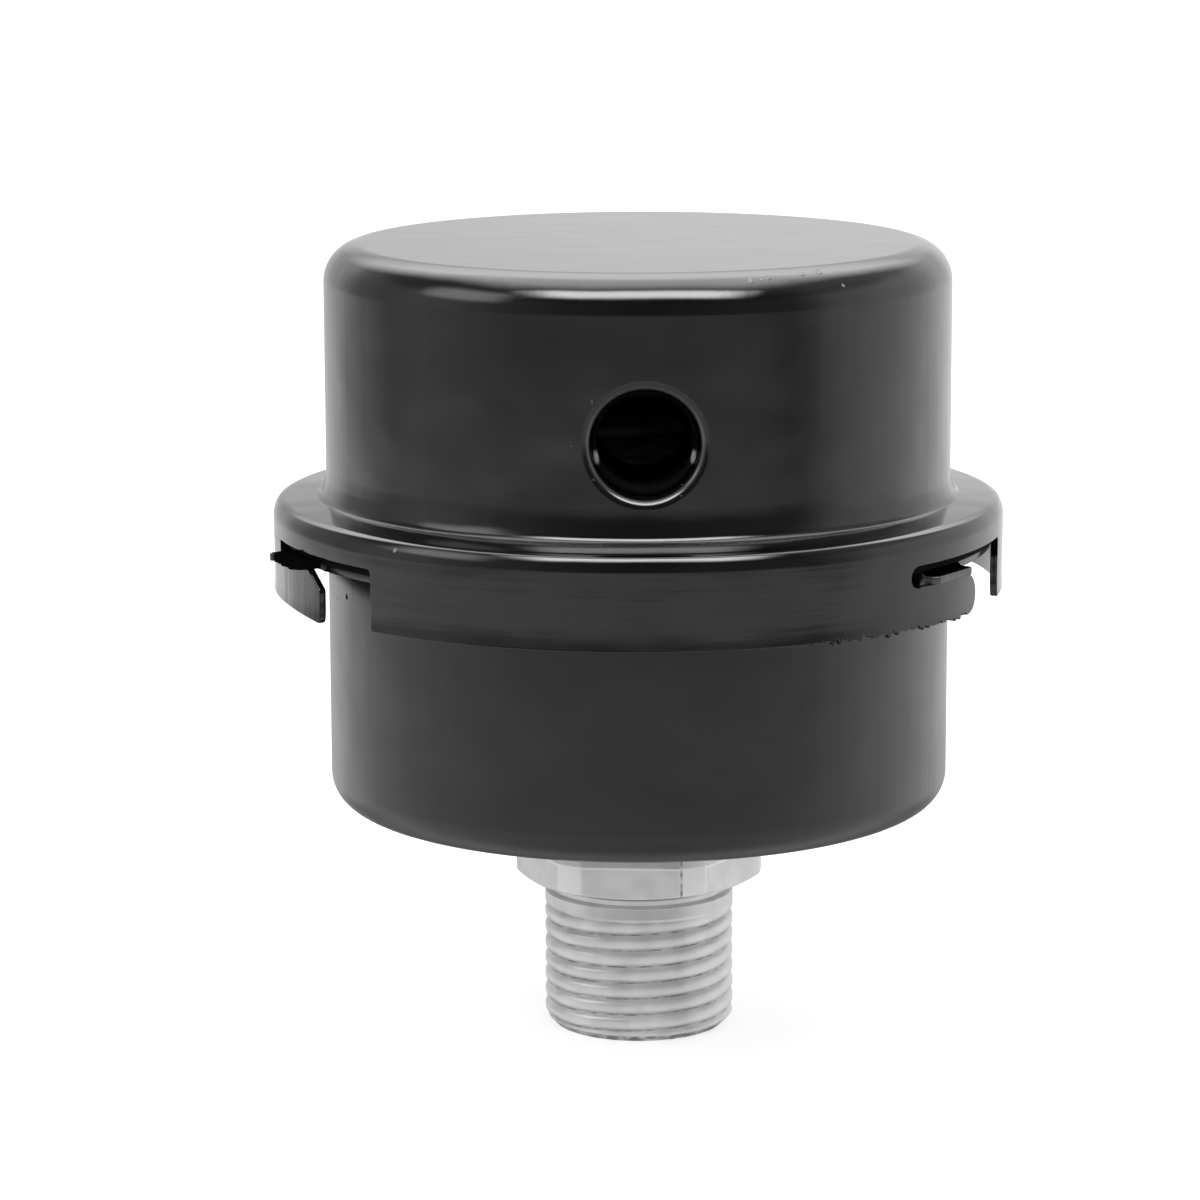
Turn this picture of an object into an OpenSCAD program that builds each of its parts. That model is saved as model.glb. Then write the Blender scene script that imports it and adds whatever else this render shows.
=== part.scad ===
// Intake filter for a small air compressor.
// A drawn steel cover locks with three bayonet slots on the lugs of a drawn base cup.
// The cup is held on a hollow hexagon fitting with a half-inch pipe thread.
// A pleated element stands inside, pressed down by a spring under the cover.
// Frame: origin on the axis at the end of the thread, +Z up, inlet hole towards -Y.
// Angles round the axis start at -Y and grow towards +X.

/* [Outlet fitting] */
// Outside diameter of the pipe thread
thread_d = 20.955; // [16:0.005:26]
// Length of the thread, with its end chamfer
thread_l = 14.6; // [10:0.1:20]
// Height of the chamfer at the end of the thread
thread_chamfer_h = 1.1; // [0.4:0.1:1.6]
// Depth of the undercut between thread and hexagon
neck_cut_h = 0.8; // [0.5:0.1:1.4]
// Height of the neck
neck_h = 2.2; // [1:0.1:4]
// Hexagon size across its flats
hex_w = 25; // [22:0.5:30]
// Height of the hexagon
hex_h = 8.1; // [6:0.1:12]
// How far the turned corners stand out past the flats of the hexagon
hex_corner_w = 1.15; // [0.6:0.05:1.5]
// How far the round lower face lies inside the flats of the hexagon
hex_face_in_w = 0.2; // [0.1:0.1:0.8]
// Height of the chamfer at the lower corners of the hexagon
hex_chamfer_h = 0.5; // [0.3:0.1:1.6]
// Direction of the first hexagon corner
hex_turn = 26; // [0:1:59]
// Diameter of the air way through the fitting
bore_d = 14.5; // [10:0.1:15]
// Wall of the tail that passes up through the cup
tail_wall_t = 1.75; // [1.2:0.05:2.5]
// How far the tail stands above the lock nut
tail_stick_h = 1.2; // [0.4:0.1:3]

/* [Washers and lock nut] */
// Thickness of the sealing washer under the cup
washer_t = 0.8; // [0.5:0.1:2]
// How far the washer's edge lies inside the flats of the hexagon
washer_in_w = 0.3; // [0:0.1:1]
// Thickness of the toothed lock washer
lock_washer_t = 0.9; // [0.6:0.1:1.2]
// Width of the lock washer's ring
lock_washer_w = 2.2; // [1.8:0.1:2.8]
// Number of teeth round the lock washer
lock_teeth = 12; // [8:1:16]
// Width and depth of the notches between those teeth
lock_notch_w = 1.1; // [0.6:0.1:1.5]
// Thickness of the lock nut
nut_h = 3.6; // [2.5:0.1:5]
// Wall of the lock nut at its flats
nut_wall_t = 1.5; // [1.2:0.1:2]

/* [Base cup] */
// Outside diameter of the cup wall
cup_d = 68.1; // [66:0.1:68.4]
// Thickness of the drawn steel sheet
sheet_t = 0.8; // [0.6:0.05:1]
// Height from the underside of the cup to the top of its rim
cup_h = 29.8; // [26:0.1:36]
// Outside radius of the bend round the bottom of the cup
cup_edge_r = 3.5; // [2:0.1:5]
// Width of the rim outside the cup's wall
rim_w = 4.65; // [4:0.05:6]
// Radius of the bend under the rim
rim_bend_r = 1.5; // [1:0.1:2]

/* [Lugs on the rim] */
// Width of a lug
lug_w = 7.6; // [5:0.1:7.8]
// How far each lug in turn stands out of the skirt
lug_stick_w = [2, 0.6, 1];
// Radius of the lug corners
lug_corner_r = 0.9; // [0.3:0.1:1.5]
// Direction of the first lug
lug_turn = -64.6; // [-90:0.1:-40]

/* [Cover] */
// How far the cover's wall stands outside the cup's wall
cover_over_w = 0.15; // [0:0.05:0.4]
// Height of the cover from its flange to its top
cover_h = 27.4; // [25:0.1:34]
// Outside radius of the bend round the top
cover_edge_r = 4.1; // [2:0.1:6]
// Room between the cup's rim and the skirt round it
skirt_room_w = 0.5; // [0.3:0.05:1]
// Radius of the bend where the wall meets the flange
flange_root_r = 2.2; // [1:0.1:2.6]
// Outside radius of the bend between flange and skirt
flange_edge_r = 2.2; // [1:0.1:2.4]
// Height from the lower edge of the skirt to the top of the flange
skirt_h = 10.3; // [9.8:0.1:13]

/* [Bayonet slots] */
// Room behind a lug, up to the closed end of its slot
slot_back_w = 3.2; // [1.5:0.1:5]
// How far the nose of a hook reaches past its lug
hook_past_w = 2.2; // [1:0.1:4]
// Room on each side of a lug in the mouth of its slot
mouth_room_w = 0.4; // [0.3:0.05:1]
// Height of the slot above the hook
slot_h = 1.8; // [1.2:0.1:2.4]
// Room between the lug and the hook that it rests on
lug_seat_h = 0.05; // [0:0.05:0.2]
// Length of the straight ramp on each hook
ramp_l = [2.8, 0, 0];
// Drop of the straight ramp on each hook
ramp_drop_h = [1.65, 0, 0];
// Radius of the upper corner of each hook
hook_top_r = [0, 2.4, 2.1];
// Radius of the lower corner of each hook
hook_low_r = [0.5, 1.9, 1.6];
// Radius of the relief at the closed end of each slot
relief_r = [0, 1.15, 1.1];
// Radius of the corner where each slot meets the plain edge of its mouth
mouth_corner_r = 0.5; // [0.2:0.1:0.9]

/* [Inlet] */
// Height of the inlet's centre above the flange
inlet_up_h = 10.1; // [9.5:0.1:16]
// Direction of the inlet
inlet_a = 1.3; // [-10:0.1:10]
// Diameter of the bore of the inlet collar
inlet_d = 11.2; // [8:0.1:12]
// How far the collar is turned in, from the outside of the wall
collar_l = 4.6; // [3.6:0.1:6]
// Radius of the rounded mouth of the collar
mouth_r = 1.1; // [1:0.1:1.6]
// Depth at which that rounding starts
mouth_deep_h = 0.9; // [0.6:0.1:0.9]
// How deep the front edge of the inlet tube lies inside the mouth
tube_back_l = 2.8; // [2:0.1:3.2]
// Length of the inlet tube
tube_l = 16; // [8:0.5:17]
// Wall of the inlet tube
tube_t = 0.55; // [0.4:0.05:0.8]
// Room round the inlet tube in its collar
tube_fit_w = 0.05; // [0.02:0.01:0.1]

/* [Cover gasket] */
// Width of the rubber ring between rim and flange
gasket_w = 4.1; // [3:0.1:4.5]
// Room between the rubber ring and the skirt
gasket_room_w = 0.3; // [0.1:0.05:0.6]
// Height of the rubber ring between rim and flange
gasket_h = 3.9; // [3.3:0.1:4.6]

/* [Element] */
// Width of the air space round the element
air_space_w = 4.25; // [3:0.05:7]
// Thickness of the cap sheet
cap_t = 0.5; // [0.3:0.05:0.8]
// Height of the lip round each cap
cap_lip_h = 4; // [3:0.1:6]
// Thickness of the potting that holds the pleats in each cap
potting_t = 1.6; // [1:0.1:3]
// Room between the corners of the lock nut and the hole in the lower cap
nut_room_w = 1.4; // [0.6:0.1:3]
// Thickness of the seat ring under the element
seat_ring_t = 2; // [1:0.1:3]
// Width of the seat ring
seat_ring_w = 6; // [3:0.1:9]
// Room between the upper cap and the inlet tube above it
cap_room_h = 1.7; // [1:0.1:2.5]
// Number of pleats
pleats = 44; // [24:1:56]
// Thickness of the folded paper
paper_t = 0.8; // [0.5:0.05:1]
// Room between the inner folds and the core tube
fold_room_w = 0.4; // [0.2:0.1:1]
// Room between the outer folds and the lip of the caps
pleat_room_w = 0.4; // [0.3:0.1:1]

/* [Core tube] */
// Wall of the core tube
core_t = 0.6; // [0.4:0.05:0.8]
// Diameter of the holes in the core tube
core_hole_d = 4; // [2:0.1:4.5]
// Holes in one row round the core tube
core_holes = 10; // [6:1:14]
// Rows of holes
core_rows = 5; // [3:1:6]

/* [Hold-down spring] */
// Mean diameter of the spring
spring_d = 22; // [18:0.5:24]
// Diameter of the spring wire
wire_d = 1.4; // [1:0.1:1.8]
// Working turns of the spring
spring_turns = 4.5; // [3:0.5:6]
// Room at each end of the spring
spring_seat_h = 0.05; // [0:0.01:0.1]
// Sheet thickness of the spring cup under the cover
spring_cup_t = 0.6; // [0.4:0.05:0.8]
// Depth of the spring cup
spring_cup_h = 3; // [2:0.1:5]
// Height of the raised centre of the upper cap
boss_h = 1.4; // [0.8:0.1:1.6]
// Room between the spring and what centres it
spring_room_w = 0.4; // [0.3:0.1:0.8]

/* [Hidden] */
$fn = 96;

// Overlap that keeps cuts clean
cut = 1;
// Running clearance round the tail of the fitting
tail_fit_w = 0.1;
// Straight steps in an arc of an outline
arc_steps = 8;

// Levels from the thread up
hex_z = thread_l + neck_h;
washer_z = hex_z + hex_h;
cup_z = washer_z + washer_t;
floor_z = cup_z + sheet_t;
rim_z = cup_z + cup_h;
lug_z = rim_z - sheet_t;
flange_under_z = rim_z + gasket_h;
flange_z = flange_under_z + sheet_t;
skirt_z = flange_z - skirt_h;
top_z = flange_z + cover_h;
top_under_z = top_z - sheet_t;
hook_z = lug_z - lug_seat_h;
slot_z = hook_z + slot_h;

// Radii of the drawn shells
cup_r = cup_d / 2;
rim_r = cup_r + rim_w;
cover_r = cup_r + cover_over_w;
flange_r = rim_r + skirt_room_w + sheet_t;

// Fitting, washers and nut
thread_r = thread_d / 2;
tail_r = bore_d / 2 + tail_wall_t;
tail_hole_r = tail_r + tail_fit_w;
washer_r = hex_w / 2 - washer_in_w;
lock_washer_r = tail_hole_r + lock_washer_w;
nut_w = 2 * (tail_hole_r + nut_wall_t);
nut_corner_r = nut_w / 2 / cos(30);

// Directions of the first slot, from the first lug
lug_half_a = asin(lug_w / 2 / flange_r);
slot_end_a = lug_turn - lug_half_a - turned(slot_back_w);
hook_nose_a = lug_turn + lug_half_a + turned(hook_past_w);
mouth_edge_a = hook_nose_a + 2 * lug_half_a + 2 * turned(mouth_room_w);
slot_mid_a = (slot_end_a + mouth_edge_a) / 2;

// Angle that a length takes along the skirt
function turned(w) = w / flange_r * 180 / PI;

// Distance across the first slot at an angle, from its middle
function across(a) = flange_r * sin(a - slot_mid_a);

// Inlet and its tube
inlet_z = flange_z + inlet_up_h;
inlet_r = inlet_d / 2;
tube_r = inlet_r - tube_fit_w;
tube_front = cover_r - tube_back_l;

// Inside the cup, from its floor up
lock_washer_z = floor_z;
nut_z = lock_washer_z + lock_washer_t;
tail_top_z = nut_z + nut_h + tail_stick_h;
element_z = floor_z + seat_ring_t;
element_top_z = inlet_z - tube_r - cap_room_h;
media_z = element_z + cap_t + potting_t;
media_top_z = element_top_z - cap_t - potting_t;
media_h = media_top_z - media_z;
element_r = cup_r - sheet_t - air_space_w;
seat_hole_r = nut_corner_r + nut_room_w;
core_r = seat_hole_r + cap_t + core_t;
pleat_ir = core_r + fold_room_w;
pleat_or = element_r - cap_t - pleat_room_w;

// Spring between the upper cap and the cover
spring_or = spring_d / 2 + wire_d / 2;
spring_ir = spring_d / 2 - wire_d / 2;
spring_z = element_top_z + spring_seat_h;
spring_top_z = top_under_z - spring_cup_t - spring_seat_h;
boss_r = spring_ir - spring_room_w;

// Turns its children to a direction round the axis
module facing(a) {
    rotate([0, 0, a]) children();
}

// Places copies at the lugs and slots
module each_lug() {
    for ($lug = [0 : len(lug_stick_w) - 1]) facing(360 * $lug / len(lug_stick_w)) children();
}

// A rectangle between two corners
module box2(x0, y0, x1, y1) {
    translate([x0, y0]) square([x1 - x0, y1 - y0]);
}

// The piece that a rounding takes off a corner at the origin that points to +X and +Y
module corner_off(r) {
    difference() {
        translate([-r, -r]) square([r + cut, r + cut]);
        translate([-r, -r]) circle(r);
    }
}

// The piece that fills a hollow corner at the origin that opens to +X and +Y
module corner_fill(r) {
    difference() {
        square([r, r]);
        translate([r, r]) circle(r);
    }
}

// Half section of all that lies within the cover's outer surface, moved in by t
module cover_section(t) {
    wall = cover_r - t;
    edge = flange_r - t;
    top = top_z - t;
    ledge = flange_z - t;
    difference() {
        union() {
            box2(0, skirt_z, wall, top);
            box2(0, skirt_z, edge, ledge);
            translate([wall, ledge]) corner_fill(flange_root_r + t);
        }
        translate([wall, top]) corner_off(cover_edge_r - t);
        translate([edge, ledge]) corner_off(flange_edge_r - t);
    }
}

// Points of an arc from one angle to another
function arc(x, y, r, a0, a1) =
    [for (i = [0 : arc_steps]) let (a = a0 + (a1 - a0) * i / arc_steps) [x + r * cos(a), y + r * sin(a)]];

// Closed end of a slot, from its lower edge round to its upper one
function slot_end(x, relief) =
    relief == 0 ? [[x, hook_z], [x, slot_z]]
        : arc(x + relief, slot_z - relief, relief, asin((relief - slot_h) / relief), -270);

// Nose of a hook, from the lower edge of the skirt up to the slot
function hook_nose(x, low_r, top_r, ramp, drop) = concat(
    [[x - low_r, skirt_z - cut]],
    arc(x - low_r, skirt_z + low_r, low_r, -90, 0),
    ramp > 0 ? [[x, hook_z - drop], [x - ramp, hook_z]] : arc(x - top_r, hook_z - top_r, top_r, 0, 90)
);

// One bayonet slot with its mouth, cut through the skirt as seen from outside
module slot_cut() {
    edge_x = across(mouth_edge_a);
    hook_half_h = (hook_z - skirt_z) / 2;
    low_r = min(hook_low_r[$lug], hook_half_h);
    top_r = min(hook_top_r[$lug], hook_half_h);
    outline = concat(
        hook_nose(across(hook_nose_a), low_r, top_r, ramp_l[$lug], ramp_drop_h[$lug]),
        slot_end(across(slot_end_a), relief_r[$lug]),
        arc(edge_x - mouth_corner_r, slot_z - mouth_corner_r, mouth_corner_r, 90, 0),
        [[edge_x, skirt_z - cut]]
    );
    facing(slot_mid_a)
        translate([0, -flange_r + sheet_t + flange_edge_r, 0])
        rotate([90, 0, 0])
        linear_extrude(sheet_t + flange_edge_r + cut) polygon(outline);
}

// Turns a shape that is drawn along +Z to the inlet's axis, with z as the distance from the filter's axis
module at_inlet() {
    facing(inlet_a) translate([0, 0, inlet_z]) rotate([90, 0, 0]) children();
}

// Cuts the bore of the inlet with its rounded mouth
module inlet_cut() {
    at_inlet() translate([0, 0, cover_r - collar_l - cut])
        cylinder(h = collar_l + 2 * cut, r = inlet_r);
    at_inlet() rotate_extrude() difference() {
        box2(inlet_r - cut, cover_r - mouth_deep_h, inlet_r + mouth_r, cover_r + cut);
        translate([inlet_r + mouth_r, cover_r - mouth_deep_h]) circle(mouth_r);
    }
}

// Drawn cover: flat top, wall with the turned-in inlet collar, flange and slotted skirt
module cover_shell() {
    color("#17181a") difference() {
        union() {
            rotate_extrude() difference() {
                cover_section(0);
                cover_section(sheet_t);
                box2(0, skirt_z - cut, flange_r - sheet_t, skirt_z + cut);
            }
            intersection() {
                at_inlet() translate([0, 0, cover_r - collar_l])
                    cylinder(h = collar_l, r = inlet_r + sheet_t);
                translate([0, 0, flange_z]) cylinder(h = cover_h, r = cover_r - sheet_t / 2);
            }
        }
        inlet_cut();
        each_lug() slot_cut();
    }
}

// Short tube pressed into the collar, which leads the air in and quietens it
module inlet_tube() {
    color("#3c3e40") at_inlet() translate([0, 0, tube_front - tube_l]) difference() {
        cylinder(h = tube_l, r = tube_r);
        translate([0, 0, -cut]) cylinder(h = tube_l + 2 * cut, r = tube_r - tube_t);
    }
}

// Drawn cup under the cover that holds the top of the spring
module spring_cup() {
    inner = spring_or + spring_room_w;
    color("#9a9c9e") rotate_extrude() {
        box2(0, top_under_z - spring_cup_t, inner + spring_cup_t, top_under_z);
        box2(inner, top_under_z - spring_cup_h, inner + spring_cup_t, top_under_z);
    }
}

// Height of the spring wire's centre after a number of turns, with one flat turn at each end
function spring_height(turn) =
    let (low = spring_z + wire_d / 2, high = spring_top_z - wire_d / 2)
    let (rise = (high - low - 2 * wire_d) / spring_turns)
    turn < 1 ? low + wire_d * turn
        : turn > spring_turns + 1 ? high - wire_d * (spring_turns + 2 - turn)
        : low + wire_d + rise * (turn - 1);

// Coil spring with closed ends, as round wire swept along its turns
module hold_down_spring() {
    sides = 8;
    steps = 16;
    rings = steps * (spring_turns + 2);
    points = [
        for (i = [0 : rings]) for (j = [0 : sides - 1])
            let (a = 360 * i / steps, b = 360 * j / sides)
            let (r = spring_d / 2 + wire_d / 2 * cos(b))
            [r * cos(a), r * sin(a), spring_height(i / steps) + wire_d / 2 * sin(b)]
    ];
    skin = [
        for (i = [0 : rings - 1]) for (j = [0 : sides - 1])
            let (n = (j + 1) % sides)
            [i * sides + j, i * sides + n, (i + 1) * sides + n, (i + 1) * sides + j]
    ];
    start = [for (j = [0 : sides - 1]) sides - 1 - j];
    end = [for (j = [0 : sides - 1]) rings * sides + j];
    color("#b4b6b8") polyhedron(points, concat([start, end], skin), convexity = 10);
}

// Rubber ring under the flange, shaped to the bend above its outer edge
module cover_gasket() {
    outer = flange_r - sheet_t - gasket_room_w;
    color("#0d0d0e") rotate_extrude() difference() {
        box2(outer - gasket_w, rim_z, outer, flange_under_z);
        translate([outer, flange_under_z]) corner_off(flange_edge_r - sheet_t);
    }
}

// Half section of the cup's outside, up to its rim
module cup_outside_section() {
    difference() {
        union() {
            box2(0, cup_z, cup_r, rim_z);
            box2(0, lug_z, rim_r, rim_z);
            translate([cup_r, lug_z]) rotate(-90) corner_fill(rim_bend_r);
        }
        translate([cup_r, cup_z]) rotate(-90) corner_off(cup_edge_r);
    }
}

// Half section of the cup's hollow, with the flare at its rim
module cup_inside_section() {
    wall = cup_r - sheet_t;
    flare = rim_bend_r + sheet_t;
    difference() {
        union() {
            box2(0, floor_z, wall, rim_z + cut);
            translate([wall, rim_z]) rotate(-90) corner_fill(flare);
            box2(wall - cut, rim_z, wall + flare, rim_z + cut);
        }
        translate([wall, floor_z]) rotate(-90) corner_off(cup_edge_r - sheet_t);
    }
}

// Outline of one lug, from within the rim to its rounded end
module lug_outline() {
    reach = flange_r + lug_stick_w[$lug];
    half = lug_w / 2;
    difference() {
        translate([-half, -reach]) square([lug_w, reach - rim_r + 2 * sheet_t]);
        for (side = [0, 1]) mirror([side, 0])
            translate([half, -reach]) rotate(-90) corner_off(lug_corner_r);
    }
}

// Drawn base cup with its flat rim and lugs
module base_shell() {
    color("#1b1c1e") difference() {
        union() {
            rotate_extrude() difference() {
                cup_outside_section();
                cup_inside_section();
            }
            facing(lug_turn) each_lug()
                translate([0, 0, lug_z]) linear_extrude(sheet_t) lug_outline();
        }
        translate([0, 0, cup_z - cut]) cylinder(h = sheet_t + 2 * cut, r = tail_hole_r);
    }
}

// Hexagon prism by its width across flats
module hexagon(w, h) {
    cylinder(h = h, r = w / 2 / cos(30), $fn = 6);
}

// Turned blank of the hexagon with its lower chamfer, as a solid to keep
module hex_blank() {
    corner_r = hex_w / 2 + hex_corner_w;
    face_r = hex_w / 2 - hex_face_in_w;
    rotate_extrude() polygon([
        [0, 0], [face_r, 0], [corner_r, hex_chamfer_h], [corner_r, hex_h], [0, hex_h]
    ]);
}

// Turned fitting: pipe thread below, hexagon, and a tail up through the cup
module outlet_fitting() {
    neck_r = thread_r - neck_cut_h;
    color("#c3c5c6") difference() {
        union() {
            rotate_extrude() polygon([
                [0, 0], [thread_r - thread_chamfer_h, 0], [thread_r, thread_chamfer_h],
                [thread_r, thread_l], [neck_r, thread_l], [neck_r, hex_z + cut],
                [tail_r, hex_z + cut], [tail_r, tail_top_z], [0, tail_top_z]
            ]);
            translate([0, 0, hex_z]) intersection() {
                facing(hex_turn - 90) hexagon(hex_w, hex_h);
                hex_blank();
            }
        }
        translate([0, 0, -cut]) cylinder(h = tail_top_z + 2 * cut, r = bore_d / 2);
    }
}

// Flat ring that lies at a height
module flat_ring(z, inner, outer, h) {
    translate([0, 0, z]) difference() {
        cylinder(h = h, r = outer);
        translate([0, 0, -cut]) cylinder(h = h + 2 * cut, r = inner);
    }
}

// Soft washer that seals the cup on the hexagon
module sealing_washer() {
    color("#6f7276") flat_ring(washer_z, tail_hole_r, washer_r, washer_t);
}

// Lock washer with teeth round its outside
module lock_washer() {
    color("#a9abac") difference() {
        flat_ring(lock_washer_z, tail_hole_r, lock_washer_r, lock_washer_t);
        for (i = [0 : lock_teeth - 1]) facing(360 * i / lock_teeth)
            translate([lock_washer_r - lock_notch_w, -lock_notch_w / 2, lock_washer_z - cut])
            cube([lock_notch_w + cut, lock_notch_w, lock_washer_t + 2 * cut]);
    }
}

// Hexagon lock nut that clamps the cup on the fitting
module lock_nut() {
    color("#b9bbbd") translate([0, 0, nut_z]) difference() {
        hexagon(nut_w, nut_h);
        translate([0, 0, -cut]) cylinder(h = nut_h + 2 * cut, r = tail_hole_r);
    }
}

// Rubber ring that seals the element on the floor of the cup
module seat_ring() {
    color("#101011") flat_ring(floor_z, seat_hole_r, seat_hole_r + seat_ring_w, seat_ring_t);
}

// Open lower cap, with a lip round the pleats and one round its hole
module element_lower_cap() {
    color("#8f9396") rotate_extrude() translate([0, element_z]) {
        box2(seat_hole_r, 0, element_r, cap_t);
        box2(seat_hole_r, 0, seat_hole_r + cap_t, cap_lip_h);
        box2(element_r - cap_t, 0, element_r, cap_lip_h);
    }
}

// Closed upper cap, with a lip round the pleats and a raised centre for the spring
module element_upper_cap() {
    color("#8f9396") rotate_extrude() translate([0, element_top_z]) {
        box2(boss_r - cap_t, -cap_t, element_r, 0);
        box2(boss_r - cap_t, -cap_t, boss_r, boss_h);
        box2(0, boss_h - cap_t, boss_r, boss_h);
        box2(element_r - cap_t, -cap_lip_h, element_r, 0);
    }
}

// Potting cast in a cap, which holds the ends of the pleats and the core
module potting(z) {
    color("#b5482f") flat_ring(z, seat_hole_r + cap_t, element_r - cap_t, potting_t);
}

module element_lower_potting() {
    potting(element_z + cap_t);
}

module element_upper_potting() {
    potting(media_top_z);
}

// Perforated tube that carries the pleats from inside
module element_core() {
    pitch = media_h / core_rows;
    color("#a3a6a8") difference() {
        flat_ring(media_z, core_r - core_t, core_r, media_h);
        for (row = [0 : core_rows - 1]) for (i = [0 : core_holes - 1])
            facing(360 * (i + row % 2 / 2) / core_holes)
            translate([0, -core_r + core_t + cut, media_z + pitch * (row + 0.5)])
            rotate([90, 0, 0]) cylinder(h = core_t + 2 * cut, r = core_hole_d / 2);
    }
}

// Filter paper folded round the core, one closed zigzag wall
module pleated_paper() {
    half = paper_t / 2;
    step = 180 / pleats;
    outer = [
        for (i = [0 : 2 * pleats - 1])
            let (r = i % 2 == 0 ? pleat_or : pleat_ir + 2 * half)
            [r * sin(step * i), r * cos(step * i)]
    ];
    inner = [
        for (i = [0 : 2 * pleats - 1])
            let (r = i % 2 == 0 ? pleat_or - 2 * half : pleat_ir)
            [r * sin(step * i), r * cos(step * i)]
    ];
    color("#d8cfae") translate([0, 0, media_z]) linear_extrude(media_h) difference() {
        polygon(outer);
        polygon(inner);
    }
}

cover_shell();
inlet_tube();
spring_cup();
hold_down_spring();
cover_gasket();
base_shell();
outlet_fitting();
sealing_washer();
lock_washer();
lock_nut();
seat_ring();
element_lower_cap();
element_lower_potting();
element_core();
pleated_paper();
element_upper_potting();
element_upper_cap();
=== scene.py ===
from functools import partialmethod
from math import asin, atan2, ceil, cos, degrees, hypot, pi, radians, sin, sqrt, tan

import bmesh
import bpy
import numpy as np
from mathutils import Matrix, Vector, noise
from mathutils.geometry import delaunay_2d_cdt


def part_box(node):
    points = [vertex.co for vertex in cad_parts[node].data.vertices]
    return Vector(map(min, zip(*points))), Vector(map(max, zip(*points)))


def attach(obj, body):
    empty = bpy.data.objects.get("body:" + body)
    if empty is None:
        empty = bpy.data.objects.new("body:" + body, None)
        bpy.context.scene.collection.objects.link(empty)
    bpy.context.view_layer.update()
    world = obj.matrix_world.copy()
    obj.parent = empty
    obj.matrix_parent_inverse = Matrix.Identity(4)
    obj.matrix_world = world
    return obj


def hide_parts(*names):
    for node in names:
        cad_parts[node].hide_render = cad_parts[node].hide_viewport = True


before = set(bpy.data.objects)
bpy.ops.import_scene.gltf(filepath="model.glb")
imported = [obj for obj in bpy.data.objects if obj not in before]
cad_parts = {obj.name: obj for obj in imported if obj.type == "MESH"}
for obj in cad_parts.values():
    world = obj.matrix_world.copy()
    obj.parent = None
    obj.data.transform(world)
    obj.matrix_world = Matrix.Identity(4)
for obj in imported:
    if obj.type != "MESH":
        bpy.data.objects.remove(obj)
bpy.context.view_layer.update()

# Camera.
# It stands in front of the inlet, a little above the top of the cover, and looks slightly down.
camera_place = Vector((0, -0.48665, 0.14093))
camera_tilt = -10.837
camera_turn = 0.498
camera_roll = -0.2


def placed(name, data):
    """Makes an object of its data and links it to the scene."""
    made = bpy.data.objects.new(name, data)
    bpy.context.scene.collection.objects.link(made)
    return made


camera = placed("camera", bpy.data.cameras.new("camera"))
camera.data.sensor_width = 36
camera.data.lens = 134.6
camera.matrix_world = (
    Matrix.Translation(camera_place)
    @ Matrix.Rotation(radians(camera_turn), 4, "Z")
    @ Matrix.Rotation(radians(90 + camera_tilt), 4, "X")
    @ Matrix.Rotation(radians(camera_roll), 4, "Z")
)
bpy.context.scene.camera = camera
bpy.context.scene.view_settings.view_transform = "Standard"


# Studio.
# Plain soft light and a white background. Glossy surfaces alone mirror a room round the object: a
# pale table, bright side walls, a dark end behind the camera, a long soft box, a ceiling and a lamp.
class Nodes:
    """Writes a node tree: a value is set on an input, and a node or socket is linked to it."""

    def __init__(self, tree):
        self.tree = tree
        tree.nodes.clear()

    def add(self, kind, *values, named=None, **settings):
        node = self.tree.nodes.new(kind)
        for name, value in settings.items():
            setattr(node, name, value)
        pairs = list(zip([socket for socket in node.inputs if socket.enabled], values))
        pairs += [(node.inputs[name], value) for name, value in (named or {}).items()]
        for socket, value in pairs:
            if isinstance(value, bpy.types.Node):
                value = next(out for out in value.outputs if out.enabled)
            if isinstance(value, bpy.types.NodeSocket):
                self.tree.links.new(value, socket)
            elif value is not None:
                socket.default_value = value
        return node

    def math(self, operation, *values):
        return self.add("ShaderNodeMath", *values, operation=operation)

    plus = partialmethod(math, "ADD")
    minus = partialmethod(math, "SUBTRACT")
    times = partialmethod(math, "MULTIPLY")
    divided = partialmethod(math, "DIVIDE")
    most = partialmethod(math, "MAXIMUM")
    scaled = partialmethod(math, "MULTIPLY_ADD")

    def split(self, vector):
        return self.add("ShaderNodeSeparateXYZ", vector).outputs

    def away(self, value, middle):
        """How far a value lies from a middle one, on either side."""
        return self.math("ABSOLUTE", self.minus(value, middle))

    def fade(self, value, start, end, low=0.0, high=1.0):
        """Goes smoothly from low to high while the value goes from start to end."""
        kind = "SMOOTHSTEP"
        return self.add("ShaderNodeMapRange", value, start, end, low, high, interpolation_type=kind)

    def between(self, value, start, full, fall, end):
        """Goes from 0 at the start to 1 at full, and back to 0 from the fall to the end."""
        return self.times(self.fade(value, start, full), self.fade(value, end, fall))

    def mix(self, share, first, second):
        return self.add("ShaderNodeMix", share, first, second, data_type="FLOAT")

    def blend(self, share, first, second):
        return self.add("ShaderNodeMix", share, first, second, data_type="RGBA")

    def edge_mark(self):
        return self.add("ShaderNodeAttribute", attribute_name="edge").outputs["Fac"]

    def noise(self, place, scale, detail, stretch=None):
        if stretch:
            place = self.add("ShaderNodeMapping", named={"Vector": place, "Scale": stretch})
        return self.add("ShaderNodeTexNoise", named={"Vector": place, "Scale": scale, "Detail": detail})


def material(name):
    """Starts a material and returns it with the writer of its nodes."""
    made = bpy.data.materials.new(name)
    made.use_nodes = True
    return made, Nodes(made.node_tree)


world = bpy.data.worlds.new("studio")
bpy.context.scene.world = world
world.use_nodes = True
studio = Nodes(world.node_tree)
background_white = 1.0
fill_light = 0.55
strip_light = 15.0
ceiling_light = 5.0
left_lamp_light = 3.2
room_peak = 1.5

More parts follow.
